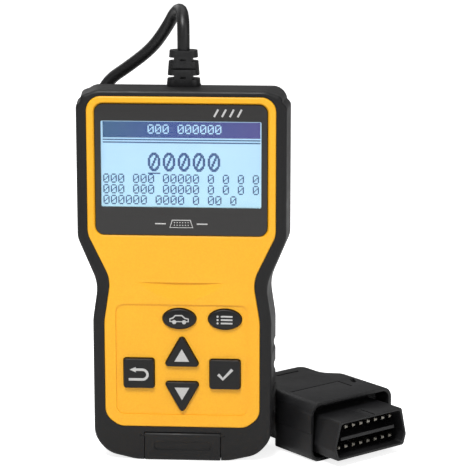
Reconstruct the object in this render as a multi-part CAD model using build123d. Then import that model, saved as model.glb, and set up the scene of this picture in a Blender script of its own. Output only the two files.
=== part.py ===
from build123d import *
import math
import os

# An OBD code reader: a hand-held case that stands on its bottom end, with a fixed lead out of its top
# and a vehicle plug on the lead. Millimetres. X is to the right, -Y is the screen side, Z is up, and
# the origin is on the ground under the middle of the case.

# ---- clearances ----
FIT_GAP = 0.15            # a moulding seated in its opening
RUN_GAP = 0.3             # between pieces that move past each other
SNUG_GAP = 0.05           # a thin piece held in another
SEAM = 0.1                # overlap that joins one shape to the next in a solid

# ---- display ----
VIEW_WIDTH = 63.8
VIEW_HEIGHT = 34.7
WINDOW_BORDER = 2.5       # black window beside the view
WINDOW_BORDER_TOP = 6.85
WINDOW_BORDER_BOTTOM = 11.45
WINDOW_THICKNESS = 1.4
WINDOW_RADIUS = 3.5
WINDOW_CHAMFER = 0.25
VIEW_RADIUS = 0.6
PANE_THICKNESS = 0.9
PANE_RECESS = 0.3
LCD_MARGIN = 2.1          # glass beyond the view, each side
LCD_GLASS = 2.0
BACKLIGHT = 3.0
GASKET_WIDTH = 1.9
GASKET_THICKNESS = 1.2
BEZEL_WALL = 1.0
LIGHT_GAP = 0.5           # light guide to the board
OPENING_BORDER = 2.4      # shell's opening beyond the view, each side

# ---- case, outside ----
HEIGHT = 152.5            # ground to the top of the case
FACE_SIDE = 3.3           # yellow beside the window
UPPER_RIM = 5.3           # black frame beside the yellow: at the screen, the waist and the keypad
WAIST_RIM = 6.3
LOWER_RIM = 5.8
UPPER_WIDTH = VIEW_WIDTH + 2 * (WINDOW_BORDER + FACE_SIDE + UPPER_RIM)
WAIST_WIDTH = 70.0
LOWER_WIDTH = 74.4
CAP_STEP = 1.8            # the case above the side bumpers is narrower by this, each side
FRONT_Y = -13.6           # front of the black frame
SPLIT_Y = 1.0             # where the frame meets the back shell
BACK_Y = 15.0
BUMPER_DROP = 6.4         # top of the case to the top of the bumpers
WAIST_Z = 73.6
NECK_Z = WAIST_Z + 19.0   # where the sides start to run in
HIP_Z = WAIST_Z - 14.6    # where the sides are full again
FOOT_HALF_WIDTH = 19.0    # flat part of the bottom end
CAP_RADIUS = 6.0          # back shell
CAP_CORNER_RUN = 6.7      # the frame's corner, a long low curve
CAP_CORNER_DROP = 2.4
CAP_CORNER_RADII = (8.0, 2.4)
BUMPER_RADII = (0.8, 2.4)
HEEL_RUN = 6.0            # lower corners
HEEL_RISE = 2.6
HEEL_HEIGHT = 6.4
HEEL_RADII = (11.0, 10.5, 20.0)
NECK_RADIUS = 9.0
WAIST_RADIUS = 16.0
HIP_RADIUS = 24.0
FRONT_EDGE_RADIUS = 1.5
FRONT_DRAW = 1.2          # the frame's sides run in by this towards its front
BACK_EDGE_RADIUS = 3.6
BACK_WALL = 2.2
BACK_TOP_DROP = 1.4       # back shell's top below the frame's
GRIP_GROOVES = 4          # finger grooves down each side of the lower half
GRIP_PITCH = 9.7
GRIP_DEPTH = 0.6
GRIP_RADIUS = 4.2
GRIP_FIRST_Z = 18.0
GRIP_FRONT_LAND = 3.4     # case left whole in front of and behind the grooves
GRIP_BACK_LAND = 5.4

# ---- yellow front shell ----
FACE_PROUD = 0.4          # in front of the frame
FACE_TOP_MARGIN = 2.4     # top of the case to the yellow
WINDOW_TOP_MARGIN = 2.9   # yellow above the window
FACE_BOTTOM_Z = 14.4
FACE_CORNER_RADIUS = 6.0
FACE_HEEL_RUN = 5.6
FACE_HEEL_RISE = 4.4
FACE_RADII = (9.0, 14.0, 22.0, 6.5, 6.5)
FACE_EDGE_RADIUS = 0.7
WINDOW_BEVEL = 0.55       # slope of the yellow down to the window
DIP_HALF_WIDTH = 17.5     # shallow thumb dip under the window: a sharp upper edge and a long run-out
DIP_DEPTH = 0.85
DIP_LENGTH = 7.5
DIP_ABOVE_WAIST = 1.2
FACE_WALL = 2.2
SKIRT_WALL = 1.6
SKIRT_BACK_GAP = 0.3      # skirt to the parting line

# ---- keypad ----
PANEL_SIDE = 4.6          # yellow beside the recessed panel
PANEL_BOTTOM_Z = 19.6
PANEL_TOP_Z = 65.8
PANEL_RADIUS = 3.5
PANEL_DEPTH = 0.5
KEY_RISE = 1.5            # key top above the panel
KEY_TRAVEL = 0.9
KEY_GAP = 0.3             # key to the hole around it
KEY_FLANGE = 1.0
ARROW_FLANGE = 0.6
FLANGE_THICKNESS = 0.9
KEY_EDGE = 0.5
OVAL_X = (-1.0, 17.4)
OVAL_Z = 59.9
OVAL_WIDTH = 13.4
OVAL_HEIGHT = 8.4
SQUARE_X = (-17.5, 17.4)
SQUARE_Z = 37.0
SQUARE_SIDE = 12.3
SQUARE_RADIUS = 1.0
ARROW_BASE = 14.8
ARROW_HEIGHT = 13.3
ARROW_RADIUS = 1.2
UP_BASE_Z = 40.1
DOWN_BASE_Z = 33.6
SHEET_THICKNESS = 1.2
SHEET_RIM = 1.5
SHEET_RADIUS = 2.0
DOME_DIAMETER = 8.0
DOME_HEIGHT = 0.5
DOME_EDGE = 0.4
PLUNGER_DIAMETER = 4.0

# ---- fasteners ----
BOSS_DIAMETER = 5.6
PILOT_DIAMETER = 2.4
SCREW_SHAFT = 2.0
SCREW_PLAY = 0.6          # hole round a screw's shaft
SCREW_HEAD = 4.4
SMALL_HEAD = 3.8
SCREW_HEAD_HEIGHT = 1.5
SCREW_HEAD_EDGE = 0.5
RECESS_LENGTH = 2.4       # the cross in a screw's head
RECESS_WIDTH = 0.6
RECESS_DEPTH = 0.7
COUNTERBORE_DEPTH = 3.2
COUNTERBORE_DIAMETER = 5.6
COUNTERBORE_WALL = 1.2
CASE_SCREW_LENGTH = 18.0
BOARD_SCREW_LENGTH = 6.0

# ---- rating label ----
LABEL_WIDTH = 50.0
LABEL_HEIGHT = 30.0
LABEL_Z = 44.0
LABEL_RECESS = 0.35
LABEL_RADIUS = 1.8

# ---- main board ----
BOARD_THICKNESS = 1.6
BOARD_UPPER_GAP = 4.7     # board to the yellow shell's side, at the screen and at the waist
BOARD_LOWER_GAP = 3.7
BOARD_TOP_GAP = 7.7       # below the top of the yellow shell
BOARD_SHOULDER_Z = 92.0
BOARD_SHOULDER_RUN = 9.0
BOARD_BOTTOM_GAP = 7.0
BOARD_TONGUE_WIDTH = 22.0
BOARD_CORNERS = (2.0, 2.0, 2.0, 1.0, 1.0, 1.0)
CHIP_SIDE = 14.0
CHIP_LEGS = 11
CHIP_LEG_PITCH = 1.27
CHIP_LEG = (1.8, 0.5)     # length and width
SUPPORT_CHIPS = (         # x, above the board's shoulder, width, height
    (-16.0, 20.0, 5.0, 6.0),
    (14.0, 21.0, 5.0, 8.0),
    (-15.0, -8.0, 6.5, 6.5),
    (10.0, -40.0, 8.0, 5.0),
)
CHIP_HEIGHT = 1.6
CAPACITORS = (            # x, below the board's top, diameter
    (-26.0, 12.4, 6.3),
    (-26.0, 22.4, 6.3),
    (26.0, 14.4, 8.0),
)
CAPACITOR_HEIGHT = 7.0
CRYSTAL = (11.0, 4.6, 3.4)
CRYSTAL_PLACE = (9.0, -12.0)
BUZZER_PLACE = (-10.0, 52.0)
BUZZER_DIAMETER = 12.0
BUZZER_HEIGHT = 6.0
BUZZER_HOLE = 2.0

# ---- service port and its flap ----
PORT_WIDTH = 7.7
PORT_DEPTH = 4.0
PORT_LENGTH = 9.2
PORT_WALL = 0.4
PORT_MOUTH_Z = 4.2
PORT_TONGUE_INSET = 1.2
PORT_TONGUE_THICKNESS = 1.0
TONGUE_BELOW_MOUTH = 0.6  # the board's end above the port's mouth
FLAP_WIDTH = 30.8
FLAP_PROUD = 0.2          # in front of the yellow
FLAP_LEG = 2.0
FLAP_SOLE = 1.5
FLAP_SOLE_BACK_Y = 0.4
FLAP_TOE_RADIUS = 1.2
FLAP_LIFT = 0.2           # sole above the ground
HINGE_Z = 10.6
HINGE_RADIUS = 1.2
HINGE_PIN_RADIUS = 0.6
HINGE_PIN_LENGTH = 1.5
THUMB_WIDTH = 23.2
THUMB_HEIGHT = 3.7
THUMB_RADIUS = 1.6
THUMB_Z = 6.5
THUMB_DEPTH = 0.6
CHIN_WALL = 2.0           # room beside the board's tongue
CHIN_BACK_Y = 7.0

# ---- lead ----
LEAD_DIAMETER = 5.0
RELIEF_BASE = 13.4
RELIEF_TIP = 11.1
RELIEF_HEIGHT = 14.1
RELIEF_DEPTH = 9.0
RELIEF_TAPER = 1.6        # depth lost from base to tip
RELIEF_CORNERS = (3.2, 3.0)
RELIEF_NECK_WALL = 2.0
RELIEF_FLANGE_LIP = 1.8
RELIEF_FLANGE_HEIGHT = 1.8
RELIEF_RUNGS = 3
NOTCH_HEIGHTS = (1.6, 0.9)  # of the side notches and of the front ones
NOTCH_COVERS = (1.1, 0.3)   # rubber left over the lead there
NOTCH_HOLE = 2.2            # width of the small front holes between the side notches
COIL_CENTRE = (-8.0, 62.0)
COIL_INNER = 20.0         # radius of the first turn's middle
COIL_SPACING = 0.2        # between turns
COIL_TURNS = 2.506
COIL_LIFT = 1.1           # the tie under the coil
COIL_EDGE = 1.6
TIE_WIDTH = 9.0
TIE_THICKNESS = 0.9
TIE_GAP = 0.2

# ---- the lead inside the case ----
CLAMP_DROP = 5.4          # middle of the clamp below the board's top
CLAMP_SCREW_X = 7.0
CLAMP_HEIGHT = 5.0
CLAMP_WIDTH = 18.0
CLAMP_COVER = 1.6         # clamp over the lead
CLAMP_SCREW_BITE = 1.2
TAIL_PAST_CLAMP = 1.5
HEADER_DROP = 15.0        # header below the clamp
HEADER_SIZE = (13.0, 6.0, 6.4)
HEADER_WALL = (1.0, 1.2)  # sides and floor
CRIMP_HEIGHT = 7.0
CRIMP_GAP = 0.1
WIRES = 5
WIRE_DIAMETER = 0.9
WIRE_PITCHES = (0.95, 2.0)   # in the jacket and in the crimp housing
WIRE_RADII = (1.6, 1.2, 1.0)

# ---- vehicle plug, in its own frame: mating face at y 0, body behind it along +y ----
PLUG_FROM_CASE = 17.4     # side of the mating face to the side of the case
PLUG_Y = -8.6
PLUG_YAW = 42.0
PIN_PITCH = 4.0
PIN_ROWS = 8.3
PIN_SIDE = 1.5
PIN_TIP_Y = 3.5
PIN_TAIL = 5.0
PIN_CHAMFER = 0.4
PINS_PER_ROW = 8
SHROUD_SIDE = 0.9         # shroud beyond the rows, each side, at the top
SHROUD_FLARE = 2.7        # the wide side beyond the narrow side, each side
SHROUD_OVER_ROWS = 7.9
SHROUD_WALL = 1.1
SHROUD_LENGTH = 25.0
SHROUD_KNEE = 4.4         # height of the straight sides at the bottom
SHROUD_FOOT_RUN = 1.4
SHROUD_RADII = (1.4, 2.0, 1.6)
KEYWAY_WIDTH = 4.4
KEYWAY_LENGTH = 9.0
KEYWAY_DEPTH = 0.5
INSULATOR_FRONT_Y = 12.5
WEB_THICKNESS = 1.3
WEB_FRONT_Y = 2.0
HOOD_FRONT_Y = 12.0
HOOD_DEPTH = 8.0
HOOD_WALL = 1.5
HOOD_GAPS = (0.9, 1.7, 4.1)  # shroud to hood: sides, bottom and top
PLUG_REAR_WIDTH = 24.0
PLUG_LENGTH = 58.0        # mating face to the rear end
PLUG_SHOULDER_Y = 35.0
PLUG_GRIP_Y = 45.0
PLUG_WALL = 2.0
PLUG_CORNER = 5.0
PLUG_PLAN_RADII = (0, 8.0, 8.0, 3.0)
RIB_PLACE = 5.0           # groove across the top, from the rear end
RIB_SIZE = (12.0, 1.2, 0.8)
BOOT_WALLS = (2.3, 1.0)   # rubber over the lead at the boot's base and tip
BOOT_LENGTH = 14.0
BOOT_FLANGE_LIP = 1.2
BOOT_FLANGE_THICKNESS = 1.8
BOOT_RINGS = 3
BOOT_RING = (3.6, 3.4, 1.1)  # first ring, pitch and width
BOOT_RING_COVER = 0.7
LINE_X = (-16.8, 9.2)     # engraved corner line on top of the housing
LINE_Y = (22.0, 31.2)
LINE_WIDTH = 0.8
LINE_DEPTH = 0.5
RIVET_PLACE = (14.6, 27.8)
RIVET_SLOT = (6.0, 2.0, 1.5)
RIVET_TURN = 62.0
PLUG_SCREW_INSETS = (9.0, 1.0)  # from the side of the housing and from its shoulder
PLUG_POST_RADII = (2.8, 3.6)
PLUG_SCREW_SEAT = 3.0
PLUG_SCREW_LENGTH = 12.0
PLUG_WIRE_DIAMETER = 1.2
PLUG_WIRE_X = (-6.0, -2.0, 2.0, 6.0)
PLUG_WIRE_END_PITCH = 1.3
PLUG_WIRE_END_Z = 0.7
PLUG_WIRE_RUNS = (6.0, 8.0)

# ---- places worked out from the sizes above ----
FACE_Y = FRONT_Y - FACE_PROUD
FACE_TOP_Z = HEIGHT - FACE_TOP_MARGIN
FACE_UPPER_WIDTH = UPPER_WIDTH - 2 * UPPER_RIM
FACE_WAIST_WIDTH = WAIST_WIDTH - 2 * WAIST_RIM
FACE_LOWER_WIDTH = LOWER_WIDTH - 2 * LOWER_RIM
BUMPER_TOP_Z = HEIGHT - BUMPER_DROP
BACK_TOP_Z = HEIGHT - BACK_TOP_DROP
WINDOW_TOP_Z = FACE_TOP_Z - WINDOW_TOP_MARGIN
WINDOW_WIDTH = VIEW_WIDTH + 2 * WINDOW_BORDER
WINDOW_HEIGHT = WINDOW_BORDER_TOP + VIEW_HEIGHT + WINDOW_BORDER_BOTTOM
WINDOW_Z = WINDOW_TOP_Z - WINDOW_HEIGHT / 2
VIEW_Z = WINDOW_TOP_Z - WINDOW_BORDER_TOP - VIEW_HEIGHT / 2
LCD_WIDTH = VIEW_WIDTH + 2 * LCD_MARGIN
LCD_HEIGHT = VIEW_HEIGHT + 2 * LCD_MARGIN
GASKET_FRONT_Y = FACE_Y + WINDOW_THICKNESS
GLASS_FRONT_Y = GASKET_FRONT_Y + GASKET_THICKNESS
LIGHT_FRONT_Y = GLASS_FRONT_Y + LCD_GLASS
BOARD_FRONT_Y = LIGHT_FRONT_Y + BACKLIGHT + LIGHT_GAP
BOARD_BACK_Y = BOARD_FRONT_Y + BOARD_THICKNESS
PANEL_WIDTH = FACE_LOWER_WIDTH - 2 * PANEL_SIDE
FLANGE_FRONT_Y = FACE_Y + FACE_WALL + RUN_GAP
FLANGE_BACK_Y = FLANGE_FRONT_Y + FLANGE_THICKNESS
SHEET_FRONT_Y = FLANGE_BACK_Y + KEY_TRAVEL + RUN_GAP
SHEET_BACK_Y = SHEET_FRONT_Y + SHEET_THICKNESS
BOARD_UPPER_WIDTH = FACE_UPPER_WIDTH - 2 * BOARD_UPPER_GAP
BOARD_LOWER_WIDTH = FACE_WAIST_WIDTH - 2 * BOARD_LOWER_GAP
BOARD_TOP_Z = FACE_TOP_Z - BOARD_TOP_GAP
BOARD_BOTTOM_Z = FACE_BOTTOM_Z + BOARD_BOTTOM_GAP
BOARD_TONGUE_Z = PORT_MOUTH_Z + TONGUE_BELOW_MOUTH
CHIP_Z = BOARD_SHOULDER_Z + 4.0
LEAD_Y = SPLIT_Y
FLAP_FRONT_Y = FACE_Y - FLAP_PROUD
HINGE_Y = FLAP_FRONT_Y + HINGE_RADIUS
RELIEF_Z = HEIGHT + SEAM
RELIEF_TIP_Z = RELIEF_Z + RELIEF_HEIGHT
RELIEF_NECK = LEAD_DIAMETER + 2 * RELIEF_NECK_WALL
RELIEF_FLANGE = RELIEF_NECK + 2 * RELIEF_FLANGE_LIP
RELIEF_FLANGE_TOP_Z = FACE_TOP_Z - SKIRT_WALL - RUN_GAP
CLAMP_Z = BOARD_TOP_Z - CLAMP_DROP
CLAMP_BACK_Y = LEAD_Y + LEAD_DIAMETER / 2 + CLAMP_COVER
TAIL_BOTTOM_Z = CLAMP_Z - CLAMP_HEIGHT / 2 - TAIL_PAST_CLAMP
HEADER_Z = CLAMP_Z - HEADER_DROP
CRIMP_FRONT_Y = BOARD_BACK_Y + HEADER_WALL[1]
CRIMP_BACK_Y = CRIMP_FRONT_Y + CRIMP_HEIGHT
COIL_PITCH = LEAD_DIAMETER + COIL_SPACING
SHROUD_TOP_WIDTH = PINS_PER_ROW * PIN_PITCH + 2 * SHROUD_SIDE
SHROUD_BOTTOM_WIDTH = SHROUD_TOP_WIDTH + 2 * SHROUD_FLARE
SHROUD_HEIGHT = PIN_ROWS + SHROUD_OVER_ROWS
SHROUD_Z = HOOD_WALL + HOOD_GAPS[1]
PLUG_WIDTH = SHROUD_BOTTOM_WIDTH + 2 * (HOOD_GAPS[0] + HOOD_WALL)
PLUG_HEIGHT = SHROUD_Z + SHROUD_HEIGHT + HOOD_GAPS[2] + HOOD_WALL
PLUG_PLACE = (LOWER_WIDTH / 2 + PLUG_FROM_CASE + PLUG_WIDTH / 2, PLUG_Y)
PLUG_SPLIT_Z = PLUG_HEIGHT / 2
SHROUD_MIDDLE_Z = SHROUD_Z + SHROUD_HEIGHT / 2
WEB_WIDTH = (PINS_PER_ROW - 1) * PIN_PITCH + 1.0
BOOT_BASE = LEAD_DIAMETER + 2 * BOOT_WALLS[0]
BOOT_TIP = LEAD_DIAMETER + 2 * BOOT_WALLS[1]
BOOT_FLANGE = BOOT_BASE + 2 * BOOT_FLANGE_LIP


def pair(x, other):
    """Two places, one each side of the middle."""
    return [(-x, other), (x, other)]


CASE_SCREWS = (pair(FACE_UPPER_WIDTH / 2 - 7.7, FACE_TOP_Z - 3.5)
               + pair(FACE_LOWER_WIDTH / 2 - 7.4, FACE_BOTTOM_Z + 3.2))
BOARD_SCREWS = (pair(BOARD_UPPER_WIDTH / 2 - 3.5, BOARD_SHOULDER_Z + 4.6)
                + pair(BOARD_LOWER_WIDTH / 2 - 4.0, WAIST_Z - 4.8))
CLAMP_SCREWS = pair(CLAMP_SCREW_X, CLAMP_Z)
PLUG_SCREWS = pair(PLUG_WIDTH / 2 - PLUG_SCREW_INSETS[0], PLUG_SHOULDER_Y - PLUG_SCREW_INSETS[1])


def both_signs(radii):
    """A list of radii followed by its mirror image."""
    return list(radii) + list(reversed(radii))


def mirrored_loop(right, radii):
    """Closed outline from its right half, given from the top down, with a fillet radius per corner."""
    points = list(right) + [(-x, z) for x, z in reversed(right)]
    return make_face(FilletPolyline(*points, radius=both_signs(radii), close=True))


def slab(face, front, back):
    """A face drawn in (x, z), made solid from y = front to y = back."""
    return extrude(Plane.XZ.offset(-back) * face, amount=back - front, dir=(0, -1, 0))


def block(x, y, z):
    """A box from three (low, high) pairs."""
    size = [high - low for low, high in (x, y, z)]
    middle = [(high + low) / 2 for low, high in (x, y, z)]
    return Pos(*middle) * Box(*size)


def around(middle, width):
    """The (low, high) pair of a given width round a middle."""
    return middle - width / 2, middle + width / 2


def plate(width, height, z, front, back, radius=0.0, x=0.0):
    """A rounded rectangular plate facing the front."""
    face = RectangleRounded(width, height, radius) if radius else Rectangle(width, height)
    return slab(Pos(x, z) * face, front, back)


def rod(x, z, diameter, front, back):
    """A round bar along the depth of the case."""
    return slab(Pos(x, z) * Circle(diameter / 2), front, back)


def upright(x, y, diameter, low, high):
    """A round bar along Z."""
    return Pos(x, y, (low + high) / 2) * Cylinder(diameter / 2, high - low)


def group(parts):
    """Separate solids kept together as one node."""
    return Compound(children=[solid for part in parts for solid in part.solids()])


def front_edges(part):
    """Edges that lie on a part's front."""
    return part.edges().group_by(Axis.Y)[0]


def back_edges(part):
    """Edges that lie on a part's back."""
    return part.edges().group_by(Axis.Y)[-1]


# ---------------------------------------------------------------- outlines of the case

def lower_sides(step=0.0):
    """Points and radii of the right side from the waist down to the foot, drawn in by a step."""
    waist = WAIST_WIDTH / 2 - step
    hip = LOWER_WIDTH / 2 - step
    points = [
        (waist, WAIST_Z),
        (hip, HIP_Z),
        (hip, HEEL_RISE + HEEL_HEIGHT),
        (hip - HEEL_RUN, HEEL_RISE),
        (FOOT_HALF_WIDTH, 0),
    ]
    return points, [WAIST_RADIUS, HIP_RADIUS, *HEEL_RADII]


def frame_outline(step=0.0):
    """Outline of the frame, drawn in by a step: the cap's corners, then a step out to the side bumpers."""
    side = UPPER_WIDTH / 2 - step
    cap = side - CAP_STEP
    points = [
        (cap - CAP_CORNER_RUN, HEIGHT),
        (cap, HEIGHT - CAP_CORNER_DROP),
        (cap, BUMPER_TOP_Z + CAP_STEP),
        (side, BUMPER_TOP_Z),
        (side, NECK_Z),
    ]
    below, radii = lower_sides(step)
    return mirrored_loop(points + below, [*CAP_CORNER_RADII, *BUMPER_RADII, NECK_RADIUS] + radii)


def back_outline():
    """Outline of the back shell, inside the bumpers all the way down."""
    cap = UPPER_WIDTH / 2 - CAP_STEP
    below, radii = lower_sides(CAP_STEP)
    return mirrored_loop([(cap, BACK_TOP_Z), (cap, NECK_Z)] + below, [CAP_RADIUS, NECK_RADIUS] + radii)


def face_outline(grow=0.0):
    """Outline of the yellow front, grown by a clearance or shrunk by a wall."""
    upper = FACE_UPPER_WIDTH / 2 + grow
    waist = FACE_WAIST_WIDTH / 2 + grow
    lower = FACE_LOWER_WIDTH / 2 + grow
    points = [
        (upper, FACE_TOP_Z + grow),
        (upper, NECK_Z + 1.6),
        (waist, WAIST_Z + 2.0),
        (lower, HIP_Z - 0.4),
        (lower, FACE_BOTTOM_Z + FACE_HEEL_RISE),
        (lower - FACE_HEEL_RUN, FACE_BOTTOM_Z - grow),
    ]
    return mirrored_loop(points, [FACE_CORNER_RADIUS + grow, *FACE_RADII])


# ---------------------------------------------------------------- case shells

def lead_hole():
    """The way out for the lead's strain relief, through the top walls."""
    return upright(0, LEAD_Y, RELIEF_NECK + 2 * FIT_GAP, RELIEF_FLANGE_TOP_Z - 4, HEIGHT + 4)


def grip_grooves():
    """Finger grooves down both sides of the lower half, following the frame's run-in at the front."""
    lean = math.degrees(math.atan(FRONT_DRAW / (SPLIT_Y - FRONT_Y)))
    front = rod(0, 0, 2 * GRIP_RADIUS, FRONT_Y + GRIP_FRONT_LAND - SPLIT_Y, SEAM)
    back = rod(0, 0, 2 * GRIP_RADIUS, 0, BACK_Y - GRIP_BACK_LAND - SPLIT_Y)
    cuts = []
    for index in range(GRIP_GROOVES):
        for side in (-1, 1):
            place = Pos(side * LOWER_WIDTH / 2, SPLIT_Y, GRIP_FIRST_Z + index * GRIP_PITCH)
            outwards = Pos(side * (GRIP_RADIUS - GRIP_DEPTH), 0, 0)
            cuts += [place * Rot(0, 0, -side * lean) * outwards * front, place * outwards * back]
    return cuts


def hinge_bar(diameter, length):
    """A round bar along the flap's hinge axis."""
    return Pos(0, HINGE_Y, HINGE_Z) * Rot(0, 90, 0) * Cylinder(diameter / 2, length)


def flap_pocket():
    """Room for the port's flap in the chin, with holes for its two stub pins."""
    across = around(0, FLAP_WIDTH + 2 * RUN_GAP)
    in_front = FRONT_Y - 5
    leg = block(across, (in_front, HINGE_Y + HINGE_RADIUS + RUN_GAP), (-1, HINGE_Z + HINGE_RADIUS + RUN_GAP))
    sole_top = FLAP_LIFT + FLAP_SOLE + RUN_GAP
    sole = block(across, (in_front, FLAP_SOLE_BACK_Y + RUN_GAP), (-1, sole_top))
    pins = hinge_bar(2 * (HINGE_PIN_RADIUS + SNUG_GAP), FLAP_WIDTH + 2 * (HINGE_PIN_LENGTH + RUN_GAP))
    return [leg, sole, pins]


def tongue_room(front, back):
    """Room in the chin round the board's tongue and the service port."""
    across = around(0, BOARD_TONGUE_WIDTH + 2 * CHIN_WALL)
    return block(across, (front, back), (BOARD_TONGUE_Z - 1.2, FACE_BOTTOM_Z + 2))


def grip_frame():
    """Black frame and bumper round the yellow front, down to the chin that holds the port."""
    sections = [(FRONT_Y, FRONT_DRAW), (SPLIT_Y, 0.0)]
    body = loft([Plane.XZ.offset(-y) * frame_outline(step) for y, step in sections], ruled=True)
    body = fillet(front_edges(body), FRONT_EDGE_RADIUS)
    body -= slab(face_outline(FIT_GAP), FRONT_Y - 1, SPLIT_Y + 1)
    body -= tongue_room(BOARD_FRONT_Y - 3.5, SPLIT_Y + 1)
    mouth = around(0, PORT_WIDTH + 2.0)
    body -= block(mouth, (BOARD_FRONT_Y + 0.6, SPLIT_Y - 0.4), (0.5, BOARD_TONGUE_Z))
    for cut in flap_pocket() + grip_grooves() + [lead_hole()]:
        body -= cut
    return body


def window_slope():
    """Cut that slopes the yellow down to the window all round."""
    sections = []
    for depth, spread in ((-SEAM, WINDOW_BEVEL + SEAM), (WINDOW_BEVEL, 0.0)):
        grow = FIT_GAP + spread
        outline = RectangleRounded(WINDOW_WIDTH + 2 * grow, WINDOW_HEIGHT + 2 * grow, WINDOW_RADIUS + grow)
        sections.append(Plane.XZ.offset(-FACE_Y - depth) * (Pos(0, WINDOW_Z) * outline))
    return loft(sections)


def thumb_dip():
    """Cut of a large round bar, tilted so that it is deepest at its upper end."""
    radius = DIP_HALF_WIDTH**2 / (2 * DIP_DEPTH)
    tilt = math.degrees(math.atan(DIP_DEPTH / DIP_LENGTH))
    bar = Pos(0, 0, -DIP_LENGTH) * Cylinder(radius, 2 * DIP_LENGTH)
    return Pos(0, FACE_Y + DIP_DEPTH, WAIST_Z + DIP_ABOVE_WAIST) * Rot(-tilt, 0, 0) * Pos(0, -radius, 0) * bar


def front_shell():
    """Yellow front shell: face, skirt, display opening, key holes and screw posts."""
    skirt_back = SPLIT_Y - SKIRT_BACK_GAP
    inside = FACE_Y + FACE_WALL
    body = slab(face_outline(), FACE_Y, skirt_back)
    body = fillet(front_edges(body), FACE_EDGE_RADIUS)
    body -= slab(face_outline(-SKIRT_WALL), inside, SPLIT_Y + 1)
    for x, z in CASE_SCREWS:
        post = rod(x, z, BOSS_DIAMETER, inside - SEAM, skirt_back)
        body += post & slab(face_outline(-0.4), FACE_Y, SPLIT_Y)
        body -= rod(x, z, PILOT_DIAMETER, inside + 2, SPLIT_Y + 1)
    for x, z in BOARD_SCREWS:
        body += rod(x, z, BOSS_DIAMETER, inside - SEAM, BOARD_FRONT_Y)
        body -= rod(x, z, PILOT_DIAMETER, inside + 1, BOARD_FRONT_Y + 1)
    body -= plate(WINDOW_WIDTH + 2 * FIT_GAP, WINDOW_HEIGHT + 2 * FIT_GAP, WINDOW_Z, FACE_Y - 1,
                  FACE_Y + WINDOW_THICKNESS + SEAM, WINDOW_RADIUS + FIT_GAP)
    body -= window_slope()
    body -= thumb_dip()
    body -= plate(VIEW_WIDTH + 2 * OPENING_BORDER, VIEW_HEIGHT + 2 * OPENING_BORDER, VIEW_Z, FACE_Y, inside + 1)
    panel_height = PANEL_TOP_Z - PANEL_BOTTOM_Z
    body -= plate(PANEL_WIDTH, panel_height, PANEL_BOTTOM_Z + panel_height / 2, FACE_Y - 1,
                  FACE_Y + PANEL_DEPTH, PANEL_RADIUS)
    for face in key_faces(KEY_GAP).values():
        body -= slab(face, FACE_Y - 1, inside + 1)
    notch = around(0, BOARD_TONGUE_WIDTH + 2.0)
    body -= block(notch, (BOARD_FRONT_Y - 1.0, SPLIT_Y + 1), (FACE_BOTTOM_Z - 1, FACE_BOTTOM_Z + 3))
    return body - lead_hole()


def back_shell():
    """Back half of the case, with counterbored screw bosses and a seat for the rating label."""
    inside = BACK_Y - BACK_WALL
    body = slab(back_outline(), SPLIT_Y, BACK_Y)
    body = fillet(back_edges(body), BACK_EDGE_RADIUS)
    body += block(around(0, RELIEF_BASE), (SPLIT_Y, LEAD_Y + RELIEF_DEPTH / 2), (BACK_TOP_Z - SEAM, HEIGHT))
    lintel = block(around(0, UPPER_WIDTH), (SPLIT_Y - 2, BACK_Y), (BACK_TOP_Z - BACK_WALL, HEIGHT))
    body -= slab(face_outline(0.4), SPLIT_Y - 1, inside) - lintel
    for x, z in CASE_SCREWS:
        body += rod(x, z, COUNTERBORE_DIAMETER + 2 * COUNTERBORE_WALL, SPLIT_Y, inside + SEAM)
        body -= rod(x, z, SCREW_SHAFT + SCREW_PLAY, SPLIT_Y - 1, BACK_Y + 1)
        body -= rod(x, z, COUNTERBORE_DIAMETER, BACK_Y - COUNTERBORE_DEPTH, BACK_Y + 1)
    body -= plate(LABEL_WIDTH + 2 * FIT_GAP, LABEL_HEIGHT + 2 * FIT_GAP, LABEL_Z, BACK_Y - LABEL_RECESS,
                  BACK_Y + 1, LABEL_RADIUS + FIT_GAP)
    for cut in grip_grooves() + [lead_hole()]:
        body -= cut
    return body - tongue_room(SPLIT_Y - 1, CHIN_BACK_Y)


def rating_label():
    """Blank label on the back."""
    return plate(LABEL_WIDTH, LABEL_HEIGHT, LABEL_Z, BACK_Y - LABEL_RECESS, BACK_Y - SEAM, LABEL_RADIUS)


def cross_recess(part, x, z, back):
    """A screw head's cross recess, cut from its back."""
    for width, height in ((RECESS_LENGTH, RECESS_WIDTH), (RECESS_WIDTH, RECESS_LENGTH)):
        part -= block(around(x, width), (back - RECESS_DEPTH, back + 1), around(z, height))
    return part


def screws(places, head_front, length, head=SCREW_HEAD):
    """Pan-head screws driven from the back, the underside of the heads at y = head_front."""
    back = head_front + SCREW_HEAD_HEIGHT
    made = []
    for x, z in places:
        top = rod(x, z, head, head_front, back)
        body = rod(x, z, SCREW_SHAFT, head_front - length, head_front)
        body += fillet(back_edges(top), SCREW_HEAD_EDGE)
        made.append(cross_recess(body, x, z, back))
    return group(made)


def case_screws():
    """Four screws that pull the back shell to the front."""
    return screws(CASE_SCREWS, BACK_Y - COUNTERBORE_DEPTH, CASE_SCREW_LENGTH)


# ---------------------------------------------------------------- display

def display_window():
    """Gloss black window plate, open over the view."""
    body = plate(WINDOW_WIDTH, WINDOW_HEIGHT, WINDOW_Z, FACE_Y + SEAM, GASKET_FRONT_Y, WINDOW_RADIUS)
    body = chamfer(front_edges(body), WINDOW_CHAMFER)
    return body - plate(VIEW_WIDTH, VIEW_HEIGHT, VIEW_Z, FACE_Y - 1, GASKET_FRONT_Y + 1, VIEW_RADIUS)


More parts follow.
